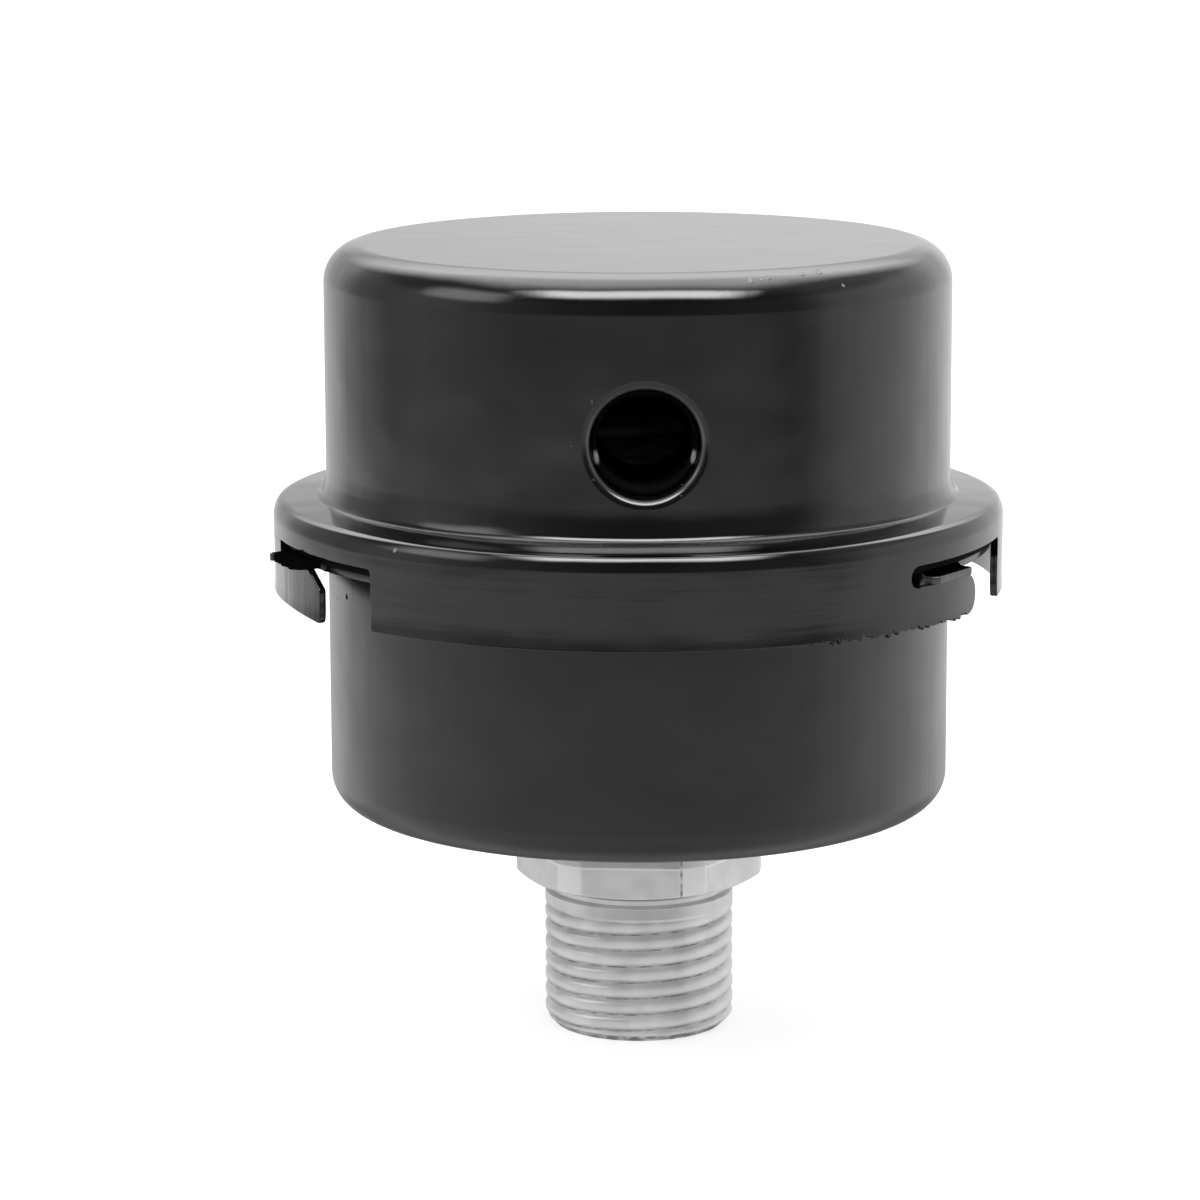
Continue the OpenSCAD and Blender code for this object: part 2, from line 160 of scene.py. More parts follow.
to_right, to_back, up = studio.split(studio.add("ShaderNodeTexCoord").outputs["Generated"])
to_front = studio.times(to_back, -1.0)
off_centre = studio.math("ABSOLUTE", to_right)
heading = studio.math("DEGREES", studio.math("ARCTAN2", to_right, to_front))
height = studio.math("DEGREES", studio.math("ARCSINE", up))
over = studio.math("DEGREES", studio.math("ARCTAN2", up, to_front))


def all_round(*stops):
    """Brightness of the room by heading, from the back over the left and the front to the right."""
    share = studio.add("ShaderNodeMapRange", heading, -180.0, 180.0, 0.0, 1.0)
    ramp = studio.add("ShaderNodeValToRGB", share)
    for angle, level in stops[1:-1]:
        ramp.color_ramp.elements.new((angle + 180) / 360)
    for stop, (angle, level) in zip(ramp.color_ramp.elements, stops):
        stop.color = (level / room_peak, level / room_peak, level / room_peak, 1)
    return studio.times(ramp, room_peak)


table = all_round(
    (-180, 0.9), (-165, 0.95), (-145, 1.3), (-120, 1.38), (-88, 1.2), (-60, 1.08), (-30, 0.98),
    (0, 0.92), (35, 0.92), (55, 1.0), (84, 1.2), (115, 1.4), (135, 1.4), (157, 1.1), (180, 0.9))
table_edge = all_round(
    (-180, 0.7), (-165, 0.78), (-145, 1.1), (-124, 0.8), (-100, 0.5), (-85, 0.72), (-58, 0.6), (-45, 0.5),
    (0, 0.5), (35, 0.53), (48, 0.45), (57, 0.28), (64, 0.42), (80, 1.1), (104, 1.24), (126, 1.45),
    (150, 1.3), (180, 0.75))
walls = all_round(
    (-180, 1.0), (-167, 0.75), (-145, 1.0), (-126, 0.57), (-104, 0.5), (-86, 0.8), (-70, 0.75), (-52, 0.4),
    (-28, 0.18), (0, 0.08), (28, 0.15), (57, 0.2), (64, 0.4), (78, 0.95), (95, 1.16), (143, 1.3),
    (162, 1.1), (180, 1.0))
down_table = studio.times(table, studio.fade(height, -20.0, -70.0, 1.0, 0.75))
behind = studio.times(studio.fade(height, -12.0, -28.0), studio.fade(to_back, 0.25, 0.75))
shaded_table = studio.times(down_table, studio.scaled(behind, -0.68, 1.0))
far_walls = studio.times(walls, studio.fade(height, 22.0, 36.0, 1.0, 0.5))
low_room = studio.mix(studio.fade(height, -12.5, -7.5), shaded_table, table_edge)
room = studio.mix(studio.fade(height, -6.5, -3.0), low_room, far_walls)

# Soft box, ceiling and lamp, by their angles over the camera's end of the room
strip_up = studio.between(over, 42.0, 56.0, 64.0, 77.0)
strip = studio.times(strip_up, studio.fade(off_centre, 0.6, 0.35))
ceiling_up = studio.between(over, 64.0, 96.0, 122.0, 178.0)
ceiling = studio.times(ceiling_up, studio.fade(off_centre, 0.68, 0.3))
lamp_aside = studio.fade(studio.away(heading, -72.0), 30.0, 6.0)
lamp_up = studio.fade(studio.away(height, 32.0), 20.0, 5.0)
left_lamp = studio.times(studio.times(lamp_aside, lamp_up), left_lamp_light)
overhead = studio.most(studio.times(strip, strip_light), left_lamp)
overhead = studio.most(overhead, studio.times(ceiling, ceiling_light))
mirrored = studio.most(room, overhead)

ray = studio.add("ShaderNodeLightPath")
plain_level = studio.mix(ray.outputs["Is Camera Ray"], fill_light, background_white)
level = studio.mix(ray.outputs["Is Glossy Ray"], plain_level, mirrored)
studio.add("ShaderNodeOutputWorld", studio.add("ShaderNodeBackground", level, 1.0))


def lamp(name, place, size, power):
    light = bpy.data.lights.new(name, "AREA")
    light.size = size
    light.energy = power
    made = placed(name, light)
    aimed = (-Vector(place)).to_track_quat("-Z", "Y").to_matrix().to_4x4()
    made.matrix_world = Matrix.Translation(place) @ aimed
    made.visible_glossy = False


lamp("key_light", (-0.6, -0.5, 1.0), size=0.9, power=6.0)
lamp("back_light", (0.5, 0.7, 0.9), size=0.9, power=4.0)
lamp("front_light", (0.25, -1.1, 0.3), size=0.8, power=3.0)

floor_mesh = bpy.data.meshes.new("floor")
floor_reach = 8.0
floor_sides = ((-1, -1), (1, -1), (1, 1), (-1, 1))
floor_corners = [(x * floor_reach, y * floor_reach, 0) for x, y in floor_sides]
floor_mesh.from_pydata(floor_corners, [], [(0, 1, 2, 3)])
floor = placed("floor", floor_mesh)
floor.visible_glossy = False
floor_paper, paper = material("floor_paper")
seen = paper.add("ShaderNodeLightPath").outputs["Is Camera Ray"]
lift = paper.add("ShaderNodeEmission", (1, 1, 1, 1), paper.times(seen, 0.6))
lit = paper.add("ShaderNodeAddShader", paper.add("ShaderNodeBsdfDiffuse", (0.8, 0.8, 0.8, 1)), lift)
paper.add("ShaderNodeOutputMaterial", lit)
floor_mesh.materials.append(floor_paper)


# Outlet fitting.
# One turned bar of zinc plated steel: a hollow stub with a half-inch pipe thread, a hexagon for
# the spanner, and a tail that passes up through the cup and takes the lock nut.
def around(radius, turn, z):
    """A place by its distance from the axis, its direction in degrees and its height."""
    angle = radians(turn)
    return (radius * sin(angle), -radius * cos(angle), z)


def rounded(corners, closed=False, step=6):
    """Points (x, y, nx, ny) along an outline with its solid on the left, and (x, y, radius) corners."""
    made = []
    count = len(corners)
    for i, (x, y, radius) in enumerate(corners):
        here = Vector((x, y))
        before = here - Vector(corners[i - 1][:2])
        after = Vector(corners[(i + 1) % count][:2]) - here
        if not closed and i == 0:
            before = after
        if not closed and i == count - 1:
            after = before
        before.normalize()
        after.normalize()
        turn = atan2(before.cross(after), before.dot(after))
        side = 1 if turn > 0 else -1
        first = atan2(-before.x, before.y)
        start = here - before * radius * tan(abs(turn) / 2)
        centre = start - side * radius * Vector((cos(first), sin(first)))
        steps = max(1, ceil(abs(degrees(turn)) / step)) if radius and abs(turn) > 1e-6 else 0
        for k in range(steps + 1):
            angle = first + turn * (k / steps if steps else 0.5)
            out = Vector((cos(angle), sin(angle)))
            place = centre + side * radius * out if steps else here
            made.append((place.x, place.y, out.x, out.y))
    return made


class Skin:
    """Gathers the points and faces of one closed surface, in millimetres."""

    def __init__(self):
        self.found = {}
        self.points = []
        self.normals = []
        self.edges = []
        self.faces = []

    def point(self, place, normal=(0, 0, 0), edge=0.0):
        key = tuple(round(c, 4) for c in place)
        if key not in self.found:
            self.found[key] = len(self.points)
            self.points.append(place)
            self.normals.append(normal)
            self.edges.append(edge)
        return self.found[key]

    def face(self, *corners):
        kept = [c for i, c in enumerate(corners) if c != corners[i - 1]]
        if len(set(kept)) > 2:
            self.faces.append(kept)

    def join(self, rows, closed):
        """Fills the strips between rows of points, each row closed to a ring or open."""
        for low, high in zip(rows, rows[1:]):
            for i in range(0 if closed else 1, len(low)):
                self.face(low[i - 1], low[i], high[i], high[i - 1])

    def lathe(self, profile, turns=range(360), closed=True, edge=0.0):
        """Turns a profile of (radius, height, out, up) about the axis."""
        rows = [
            [self.point(around(r, t, z), around(out, t, rise), edge) for t in turns]
            for r, z, out, rise in profile
        ]
        self.join(rows, closed)

    def ring(self, corners, step, turns=range(360)):
        """Turns a closed outline of (radius, height, rounding) corners about the axis."""
        profile = rounded(corners, closed=True, step=step)
        self.lathe(profile + profile[:1], turns)

    def piece(self, name, sharp=None):
        """Makes the object, with its faces pointing outwards."""
        mesh = bpy.data.meshes.new(name)
        mesh.from_pydata([[c * 0.001 for c in p] for p in self.points], [], self.faces)
        shell = bmesh.new()
        shell.from_mesh(mesh)
        bmesh.ops.recalc_face_normals(shell, faces=shell.faces)
        shell.to_mesh(mesh)
        shell.free()
        mesh.shade_smooth()
        mark = mesh.attributes.new("edge", "FLOAT", "POINT")
        mark.data.foreach_set("value", self.edges)
        if sharp is None:
            normals = [Vector(n).normalized() for n in self.normals]
            mesh.normals_split_custom_set_from_vertices(normals)
        else:
            mesh.set_sharp_from_angle(angle=radians(sharp))
        return placed(name, mesh)


def node_tree(kind, name, inputs, outputs):
    """Starts a node tree and gives its writer and its inputs.

    Each socket is named with the number that it starts from, or with the kind of thing it takes.
    """
    tree = bpy.data.node_groups.new(name, kind)
    for way, sockets in (("INPUT", inputs), ("OUTPUT", outputs)):
        for socket, value in sockets.items():
            taken = {float: "Float", int: "Int"}.get(type(value), value)
            made = tree.interface.new_socket(socket, in_out=way, socket_type="NodeSocket" + taken)
            if taken != value:
                made.default_value = value
    writer = Nodes(tree)
    return writer, writer.add("NodeGroupInput").outputs


# Group that gives a fine uneven surface: soft waves under a finer grain
inside, given = node_tree(
    "ShaderNodeTree", "grain", {"Place": "Vector", "Grain size": 1.0, "Wave size": 8.0, "Waves": 1.0},
    {"Height": "Float", "Tone": "Float"})
per_grain = inside.divided(1000.0, given["Grain size"])
per_wave = inside.divided(1000.0, given["Wave size"])
fine = inside.noise(given["Place"], per_grain, 2.0)
wide = inside.noise(given["Place"], per_wave, 1.0)
height_sum = inside.scaled(wide, given["Waves"], fine)
inside.add("NodeGroupOutput", height_sum, inside.fade(wide, 0.3, 0.7))
GRAIN = inside.tree

# Group that gives scattered specks, such as dust and small chips
inside, given = node_tree(
    "ShaderNodeTree", "specks", {"Place": "Vector", "Spacing": 5.0, "Speck size": 0.2, "Share": 0.5},
    {"Mask": "Float"})
per_cell = inside.divided(1000.0, given["Spacing"])
cells = inside.add("ShaderNodeTexVoronoi", named={"Vector": given["Place"], "Scale": per_cell})
far = inside.times(cells.outputs["Distance"], given["Spacing"])
spot = inside.fade(far, given["Speck size"], inside.times(given["Speck size"], 0.6))
chosen = inside.add("ShaderNodeSeparateColor", cells.outputs["Color"])
inside.add("NodeGroupOutput", inside.times(spot, inside.math("LESS_THAN", chosen, given["Share"])))
SPECKS = inside.tree

# Group that tells where a cut edge has lost some of its finish
inside, given = node_tree(
    "ShaderNodeTree", "edge_wear", {"Place": "Vector", "Edge": 0.0, "Patch size": 1.0, "Amount": 0.5},
    {"Mask": "Float"})
per_patch = inside.divided(1000.0, given["Patch size"])
patch = inside.noise(given["Place"], per_patch, 3.0)
limit = inside.minus(1.0, given["Amount"])
worn = inside.fade(patch, limit, inside.plus(limit, 0.08))
inside.add("NodeGroupOutput", inside.times(worn, given["Edge"]))
WEAR = inside.tree


def grained(nodes, *sizes):
    """The place on a surface, and the grain group of these sizes over it."""
    place = nodes.add("ShaderNodeTexCoord").outputs["Object"]
    return place, nodes.add("ShaderNodeGroup", place, *sizes, node_tree=GRAIN)


def shaded(nodes, height, strength, depth, look):
    """Ends a material with one shader: its relief by strength and depth, and its other inputs."""
    bump = nodes.add("ShaderNodeBump", strength, depth, named={"Height": height})
    shader = nodes.add("ShaderNodeBsdfPrincipled", named={**look, "Normal": bump})
    nodes.add("ShaderNodeOutputMaterial", shader)


def fitting_marks(nodes, way, far, stain_and_shade, polish_and_highlight):
    """Adds the fitting's painted shade and painted highlights, at places in metres, to its darker and its
    lighter marks.
    """
    x, y, z = way
    # Painted shade on the neck under the hexagon's overhang
    neck = nodes.times(nodes.fade(z, 0.0159, 0.0161), nodes.fade(far, 0.0106, 0.0102))
    stain_and_shade = nodes.most(stain_and_shade, nodes.times(neck, 0.75))
    # Shade on the plain collar over the thread, strongest in front
    collar = nodes.between(z, 0.0138, 0.0141, 0.0151, 0.0152)
    middle = nodes.fade(nodes.math("ABSOLUTE", x), 0.008, 0.002, 0.08, 0.36)
    stain_and_shade = nodes.most(stain_and_shade, nodes.times(collar, middle))
    # Painted shade: a broken dark line up the front crease of the hexagon
    spots = nodes.noise(nodes.add("ShaderNodeCombineXYZ", 0.0, 0.0, z), 1500.0, 1.0)
    crease = nodes.fade(nodes.away(x, 0.00465), 0.00016, 0.00008)
    crease = nodes.times(crease, nodes.fade(spots, 0.4, 0.6, 0.2, 0.8))
    in_front = nodes.times(nodes.math("LESS_THAN", y, 0.0), nodes.math("GREATER_THAN", z, 0.0169))
    stain_and_shade = nodes.most(stain_and_shade, nodes.times(crease, in_front))
    # Painted shadow of the cup in a band round the top of the hexagon, with a painted highlight line under
    # it
    band = nodes.times(nodes.fade(z, 0.02036, 0.02046), nodes.fade(x, 0.009, 0.004, 0.12, 0.4))
    stain_and_shade = nodes.most(stain_and_shade, band)
    return stain_and_shade, nodes.most(polish_and_highlight, nodes.between(z, 0.0201, 0.0202, 0.02034, 0.02042))


def turned_zinc(name, colour, dull, grime_and_shade_inside=0.0, grime_and_shade_outside=0.0, marked=False):
    """Bright zinc on turned steel, with fine tool marks, grime and painted shade in what lies deep,
    and marked edges painted lighter as a highlight.
    """
    made, nodes = material(name)
    place, grain = grained(nodes, 0.5, 3.0, 0.6)
    way = nodes.split(place)
    x, y, z = way
    far = nodes.math("SQRT", nodes.scaled(x, x, nodes.math("POWER", y, 2.0)))
    rings = nodes.add("ShaderNodeCombineXYZ", nodes.times(far, 40.0), 0.0, z)
    relief = nodes.plus(nodes.times(nodes.noise(rings, 2600.0, 2.0), 0.5), grain)
    # Grime and painted shade, in patches, in the grooves of the thread
    deep = nodes.times(nodes.fade(far, grime_and_shade_outside, grime_and_shade_inside), nodes.fade(z, 0.0146, 0.0142))
    stain_and_shade = nodes.times(deep, nodes.fade(nodes.noise(place, 700.0, 3.0), 0.36, 0.66, 0.15, 0.85))
    # Marked edges, the hexagon's turned corners, are painted lighter as their highlight
    polish_and_highlight = nodes.edge_mark()
    if marked:
        stain_and_shade, polish_and_highlight = fitting_marks(nodes, way, far, stain_and_shade, polish_and_highlight)
    tone = nodes.blend(grain.outputs[1], [c * 0.84 for c in colour[:3]] + [1], colour)
    tone = nodes.blend(nodes.times(polish_and_highlight, 0.6), tone, (0.95, 0.95, 0.94, 1))
    tone = nodes.blend(stain_and_shade, tone, (0.1, 0.098, 0.095, 1))
    rough = nodes.scaled(grain.outputs[1], 0.1, dull)
    shaded(nodes, relief, 0.25, 0.00006, {"Base Color": tone, "Metallic": 0.4, "Roughness": rough})
    return made


def finish(piece, body, slot_name, finish_material, *nodes_replaced):
    """Gives a piece its finish, its body and the nodes that it stands for."""
    piece.data.materials.clear()
    piece.data.materials.append(finish_material)
    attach(piece, body)
    if nodes_replaced:
        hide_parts(*nodes_replaced)


def baked(name, source, tree, **sizes):
    """Runs a Geometry Nodes tree on an object with named sizes, and returns the plain mesh object."""
    modifier = source.modifiers.new("shape", "NODES")
    modifier.node_group = tree
    for socket in tree.interface.items_tree:
        if socket.item_type == "SOCKET" and socket.in_out == "INPUT" and socket.name in sizes:
            modifier[socket.identifier] = sizes[socket.name]
    bpy.context.view_layer.update()
    evaluated = source.evaluated_get(bpy.context.evaluated_depsgraph_get())
    mesh = bpy.data.meshes.new_from_object(evaluated)
    mesh.name = name
    bpy.data.objects.remove(source)
    return placed(name, mesh)


def shape_tree(name, sizes):
    """Starts a Geometry Nodes tree with a geometry, named sizes and a material as its inputs."""
    inputs = {"Geometry": "Geometry", **sizes, "Finish": "Material"}
    return node_tree("GeometryNodeTree", name, inputs, {"Geometry": "Geometry"})


def end_tree(writer, given, geometry):
    """Ends a Geometry Nodes tree with real geometry and its material."""
    real = writer.add("GeometryNodeRealizeInstances", geometry)
    dressed = writer.add("GeometryNodeSetMaterial", real, named={"Material": given["Finish"]})
    writer.add("NodeGroupOutput", dressed)


thread_r = 10.4775
thread_pitch = 1.814
thread_depth = 0.56
thread_end = 15.2
thread_face_r = 9.38
bore_r = 7.25
neck_r = 9.9
hex_z = 16.8
hex_top = 24.9
hex_across = 25.0
hex_corner_r = 13.65
hex_face_r = 12.3
hex_turn = 26
hex_chamfer = 0.5
tail_r = 9.0
tail_top = 32.2
fitting_columns = 240
chamfer = 0.3
mouth_chamfer = 0.35
tail_chamfer = 0.25


def hexagon_radius(turn):
    """Distance from the axis to the hexagon in a direction; its corners are turned round."""
    aside = abs((turn - hex_turn) % 60 - 30)
    return min(hex_corner_r, hex_across / 2 / cos(radians(aside)))


def hexagon_floor(radius):
    """Height of the hexagon's lower chamfer at a distance from the axis."""
    return hex_z + max(0.0, radius - hex_face_r) / (hex_corner_r - hex_face_r) * hex_chamfer


fitting_turns = [hex_turn + 360 * i / fitting_columns for i in range(fitting_columns)]
fitting = Skin()


def fitting_row(place):
    """A row of points at a radius and height, or where a function says for each direction."""
    row = []
    for turn in fitting_turns:
        radius, z = place(turn) if callable(place) else place
        # The hexagon's turned corners are marked, to be painted lighter as their highlight
        on_corner = hex_z < z < hex_top and radius == hex_corner_r
        row.append(fitting.point(around(radius, turn, z), edge=1.0 if on_corner else 0.0))
    return row


thread_rows = 176
bore_levels = (mouth_chamfer, 8, 16, 24, tail_top - chamfer)
fitting_rows = [(bore_r, z) for z in bore_levels]
fitting_rows += [
    (bore_r + chamfer, tail_top), (tail_r - tail_chamfer, tail_top),
    (tail_r, tail_top - tail_chamfer), (tail_r, hex_top),
    lambda t: (hexagon_radius(t) - 0.2, hex_top),
    lambda t: (hexagon_radius(t) - 0.06, hex_top - 0.06),
    lambda t: (hexagon_radius(t), hex_top - 0.2),
    lambda t: (hexagon_radius(t), hexagon_floor(hexagon_radius(t)) + 0.12),
    lambda t: (hexagon_radius(t) - 0.1, hexagon_floor(hexagon_radius(t) - 0.1)),
    (hex_face_r, hex_z), (neck_r + chamfer, hex_z), (neck_r, hex_z - chamfer),
    (neck_r, thread_end + chamfer), (neck_r + (thread_r - neck_r) * 0.8, thread_end + 0.1)]
for row in range(thread_rows + 1):
    z = thread_end * (1 - row / thread_rows)
    fitting_rows.append((min(thread_r, thread_face_r + z), z))
fitting_rows += [(bore_r + mouth_chamfer, 0.0), (bore_r, mouth_chamfer)]
fitting.join([fitting_row(place) for place in fitting_rows], closed=True)
fitting_blank = fitting.piece("fitting_blank", sharp=35)

# The flats of the hexagon meet at a small angle, so its edges are marked sharp at less than the rest
blank = fitting_blank.data
plain_marks = [edge.use_edge_sharp for edge in blank.edges]
blank.set_sharp_from_angle(angle=radians(14))
for edge, mark in zip(blank.edges, plain_marks):
    if min(blank.vertices[v].co.z for v in edge.vertices) < hex_z / 1000:
        edge.use_edge_sharp = mark

# The thread is cut by moving the points of the plain stub in along a right-handed helix
crest_narrowing = 2.9
crest_band = 0.0013
thread_sizes = {
    "Pitch": thread_pitch / 1000, "Depth": thread_depth / 1000, "Crest radius": thread_r / 1000,
    "Run-out": 0.00125, "End": thread_end / 1000}
writer, given = shape_tree("pipe_thread", thread_sizes)
px, py, pz = writer.split(writer.add("GeometryNodeInputPosition"))
radius_now = writer.math("SQRT", writer.scaled(px, px, writer.times(py, py)))
lead = writer.divided(writer.math("ARCTAN2", py, px), 2 * pi)
phase = writer.minus(writer.divided(pz, given["Pitch"]), lead)
ridge = writer.times(writer.math("PINGPONG", phase, 0.5), 2.0)
hollow = writer.math("POWER", writer.minus(1.0, ridge), crest_narrowing)
run_out = writer.minus(given["End"], given["Run-out"])
full_depth = writer.scaled(given["Run-out"], -0.25, run_out)
cut = writer.times(hollow, writer.fade(pz, run_out, full_depth))
cut_radius = writer.minus(given["Crest radius"], writer.times(cut, given["Depth"]))
ratio = writer.math("MINIMUM", 1.0, writer.divided(cut_radius, radius_now))
moved = writer.add("ShaderNodeCombineXYZ", writer.times(px, ratio), writer.times(py, ratio), pz)
outer = writer.math("GREATER_THAN", radius_now, writer.minus(given["Crest radius"], crest_band))
outside = writer.times(outer, writer.math("LESS_THAN", pz, given["End"]))
threaded = writer.add("GeometryNodeSetPosition", given["Geometry"], outside, moved)
end_tree(writer, given, threaded)

fitting_zinc = turned_zinc(
    "zinc_plated_fitting", (0.76, 0.76, 0.755, 1), dull=0.36, grime_and_shade_inside=0.00995,
    grime_and_shade_outside=0.01013, marked=True)
outlet = baked(
    "outlet_fitting_threaded", fitting_blank, writer.tree, Finish=fitting_zinc, **thread_sizes)
finish(outlet, "base", "plated_fitting", fitting_zinc, "outlet_fitting")

# Sealing washer.
# A soft aluminium ring, pressed between the hexagon and the floor of the cup.
washer_hole_r = 9.1
washer_outer = 12.2
washer_top = 25.7
washer = Skin()
washer.ring([
    (washer_hole_r, hex_top, 0.12), (washer_outer, hex_top, 0.2),
    (washer_outer, washer_top, 0.2), (washer_hole_r, washer_top, 0.12)], step=30)
washer_metal = turned_zinc("dull_washer_metal", (0.2, 0.2, 0.2, 1), dull=0.42)
finish(washer.piece("sealing_washer_ring"), "base", "washer_metal", washer_metal, "sealing_washer")


# Base cup.
# One drawn steel cup in satin black enamel. Its rim is turned out flat, and three lugs, sheared
# from the rim, reach out through the slots of the cover.
def spots_at(nodes, place, spots, torn):
    """Mask of small torn spots, each (x, y, z, radius) in millimetres."""
    mask = 0.0
    for x, y, z, radius in spots:
        centre = (x / 1000, y / 1000, z / 1000)
        away = nodes.add("ShaderNodeVectorMath", place, centre, operation="DISTANCE").outputs["Value"]
        away = nodes.scaled(torn, radius / 1000, away)
        mask = nodes.most(mask, nodes.fade(away, radius * 0.0015, radius * 0.0012))
    return mask


def enamel(name, base, dull, wear, peel, streaks, rings_below=0.0, chips=(), dark_spots_and_shade=()):
    """Baked black enamel on drawn sheet, its relief given in thousandths of a millimetre.

    Orange peel, marks along the draw (round it below a height), dust, chips, dark spots with painted shade
    among them, and worn edges.
    The edge attribute is 1 on cut edges, up to 2 where a painted highlight lies on them, and -1 on unseen
    inner faces and on faces painted dull black as shade.
    """
    made, nodes = material(name)
    place, grain = grained(nodes, 0.7, 9.0, 160.0 / peel)
    to_side, _, level = nodes.split(place)
    edge = nodes.edge_mark()
    # Marks of the draw: upright, but round the sheet below the given height, and strong on the left hook
    streak = nodes.noise(place, 380.0, 2.0, stretch=(1, 1, 0.04))
    ring = nodes.noise(place, 600.0, 3.0, stretch=(0.07, 0.07, 1))
    low = nodes.fade(level, rings_below + 0.0005, rings_below - 0.0005)
    hook_side = nodes.times(nodes.fade(level, 0.0566, 0.056), nodes.fade(to_side, -0.0315, -0.0335))
    hook_side = nodes.times(low, hook_side)
    marks = nodes.mix(nodes.minus(low, hook_side), streak, ring)
    marks = nodes.times(marks, nodes.mix(hook_side, streaks, streaks * 5))
    # Dust, chips, dark spots and painted shade spots, what is worn, and painted highlights on edges
    dust_sizes = {"Place": place, "Spacing": 5.0, "Speck size": 0.12, "Share": 0.05}
    dust = nodes.add("ShaderNodeGroup", node_tree=SPECKS, named=dust_sizes)
    wear_given = {"Place": place, "Edge": edge, "Patch size": 0.8, "Amount": wear}
    worn = nodes.add("ShaderNodeGroup", node_tree=WEAR, named=wear_given)
    # Edge marks over 1 are painted lighter: a painted highlight on the edge
    painted_sheen = nodes.times(nodes.fade(edge, 1.0, 2.0), 0.35)
    torn = nodes.noise(place, 2200.0, 2.0)
    chipped = spots_at(nodes, place, chips, torn)
    spot_and_shade_mask = spots_at(nodes, place, dark_spots_and_shade, torn)
    specks = nodes.most(dust, chipped)
    # The relief is smoother on the flat top
    relief = nodes.scaled(dust, 6.0, nodes.scaled(grain, peel, marks))
    relief = nodes.times(relief, nodes.fade(level, 0.0875, 0.087, 0.25, 1.0))
    relief = nodes.scaled(chipped, 60.0, relief)
    tone = nodes.blend(grain.outputs[1], [c * 0.8 for c in base[:3]] + [1], base)
    tone = nodes.blend(nodes.times(specks, 0.7), tone, (0.3, 0.3, 0.29, 1))
    tone = nodes.blend(nodes.most(nodes.times(worn, 0.8), painted_sheen), tone, (0.16, 0.155, 0.15, 1))
    rough = nodes.scaled(grain.outputs[1], dull * 0.2, dull)
    rough = nodes.mix(nodes.most(specks, worn), rough, 0.55)
    bump = nodes.add("ShaderNodeBump", 1.0, 0.000001, named={"Height": relief})
    shader = nodes.add("ShaderNodeBsdfPrincipled", named={
        "Base Color": tone, "Roughness": rough, "Normal": bump})
    # Unseen inner faces, faces painted dull black as shade, and the dark spots take a dull black shader
    # without specular
    matt_shade_face = nodes.add("ShaderNodeBsdfPrincipled", named={
        "Base Color": (0.003, 0.003, 0.003, 1), "Roughness": 0.8, "Specular IOR Level": 0.0,
        "Normal": bump})
    matt_and_shade = nodes.most(nodes.fade(edge, -0.4, -0.9), spot_and_shade_mask)
    nodes.add("ShaderNodeOutputMaterial", nodes.add("ShaderNodeMixShader", matt_and_shade, shader, matt_shade_face))
    return made


def resample(outline, spacing, closed):
    """Evenly spaced points along an outline, as an array of (x, y)."""
    line = np.array([p[:2] for p in outline] + ([outline[0][:2]] if closed else []))
    along = np.concatenate([[0], np.cumsum(np.hypot(*np.diff(line, axis=0).T))])
    count = max(4, round(along[-1] / spacing))
    at = np.linspace(0, along[-1], count + 1)[: count if closed else count + 1]
    return np.column_stack([np.interp(at, along, line[:, i]) for i in (0, 1)])


def inward(line, closed):
    """Unit vectors to the left of a line of points, into the solid."""
    if closed:
        run = np.roll(line, -1, axis=0) - np.roll(line, 1, axis=0)
    else:
        run = np.gradient(line, axis=0)
    run /= np.hypot(*run.T)[:, None]
    return np.column_stack([-run[:, 1], run[:, 0]])


def within(points, loops):
    """Tells which points lie inside an area bounded by closed loops."""
    crossings = np.zeros(len(points), int)
    for loop in loops:
        a = np.asarray(loop)
        b = np.roll(a, -1, axis=0)
        for (x0, y0), (x1, y1) in zip(a, b):
            if y0 == y1:
                continue
            rows = (points[:, 1] >= min(y0, y1)) & (points[:, 1] < max(y0, y1))
            x = x0 + (points[rows, 1] - y0) * (x1 - x0) / (y1 - y0)
            crossings[rows] += points[rows, 0] < x
    return crossings % 2 == 1


def fill(skin, loops, place, spacing=(1.2, 1.2)):
    """Covers the area between closed loops with triangles, each point put where place(x, y) says."""
    outline = np.concatenate([np.asarray(loop, float) for loop in loops])
    edges = []
    start = 0
    for loop in loops:
        edges += [(start + i, start + (i + 1) % len(loop)) for i in range(len(loop))]
        start += len(loop)
    low, high = outline.min(axis=0), outline.max(axis=0)
    steps = [np.arange(low[i] + spacing[i], high[i] - spacing[i] / 2, spacing[i]) for i in (0, 1)]
    inner = np.array(np.meshgrid(*steps)).reshape(2, -1).T
    inner = inner[within(inner, loops)]
    gap = min(spacing) * 0.5
    clear = [np.min(np.hypot(*(outline - p).T)) > gap for p in inner]
    inner = inner[np.array(clear, bool)] if len(inner) else inner
    points = [Vector(p) for p in np.concatenate([outline, inner])]
    result = delaunay_2d_cdt(points, edges, [], 0, 1e-7)
    found = np.array([tuple(p) for p in result[0]])
    faces = result[2]
    centres = np.array([found[list(f)].mean(axis=0) for f in faces])
    keep = within(centres, loops)
    made = [skin.point(*place(x, y)) for x, y in found]
    for face, kept in zip(faces, keep):
        if kept:
            skin.face(*[made[i] for i in face])


sheet = 0.8
edge_round = 0.12


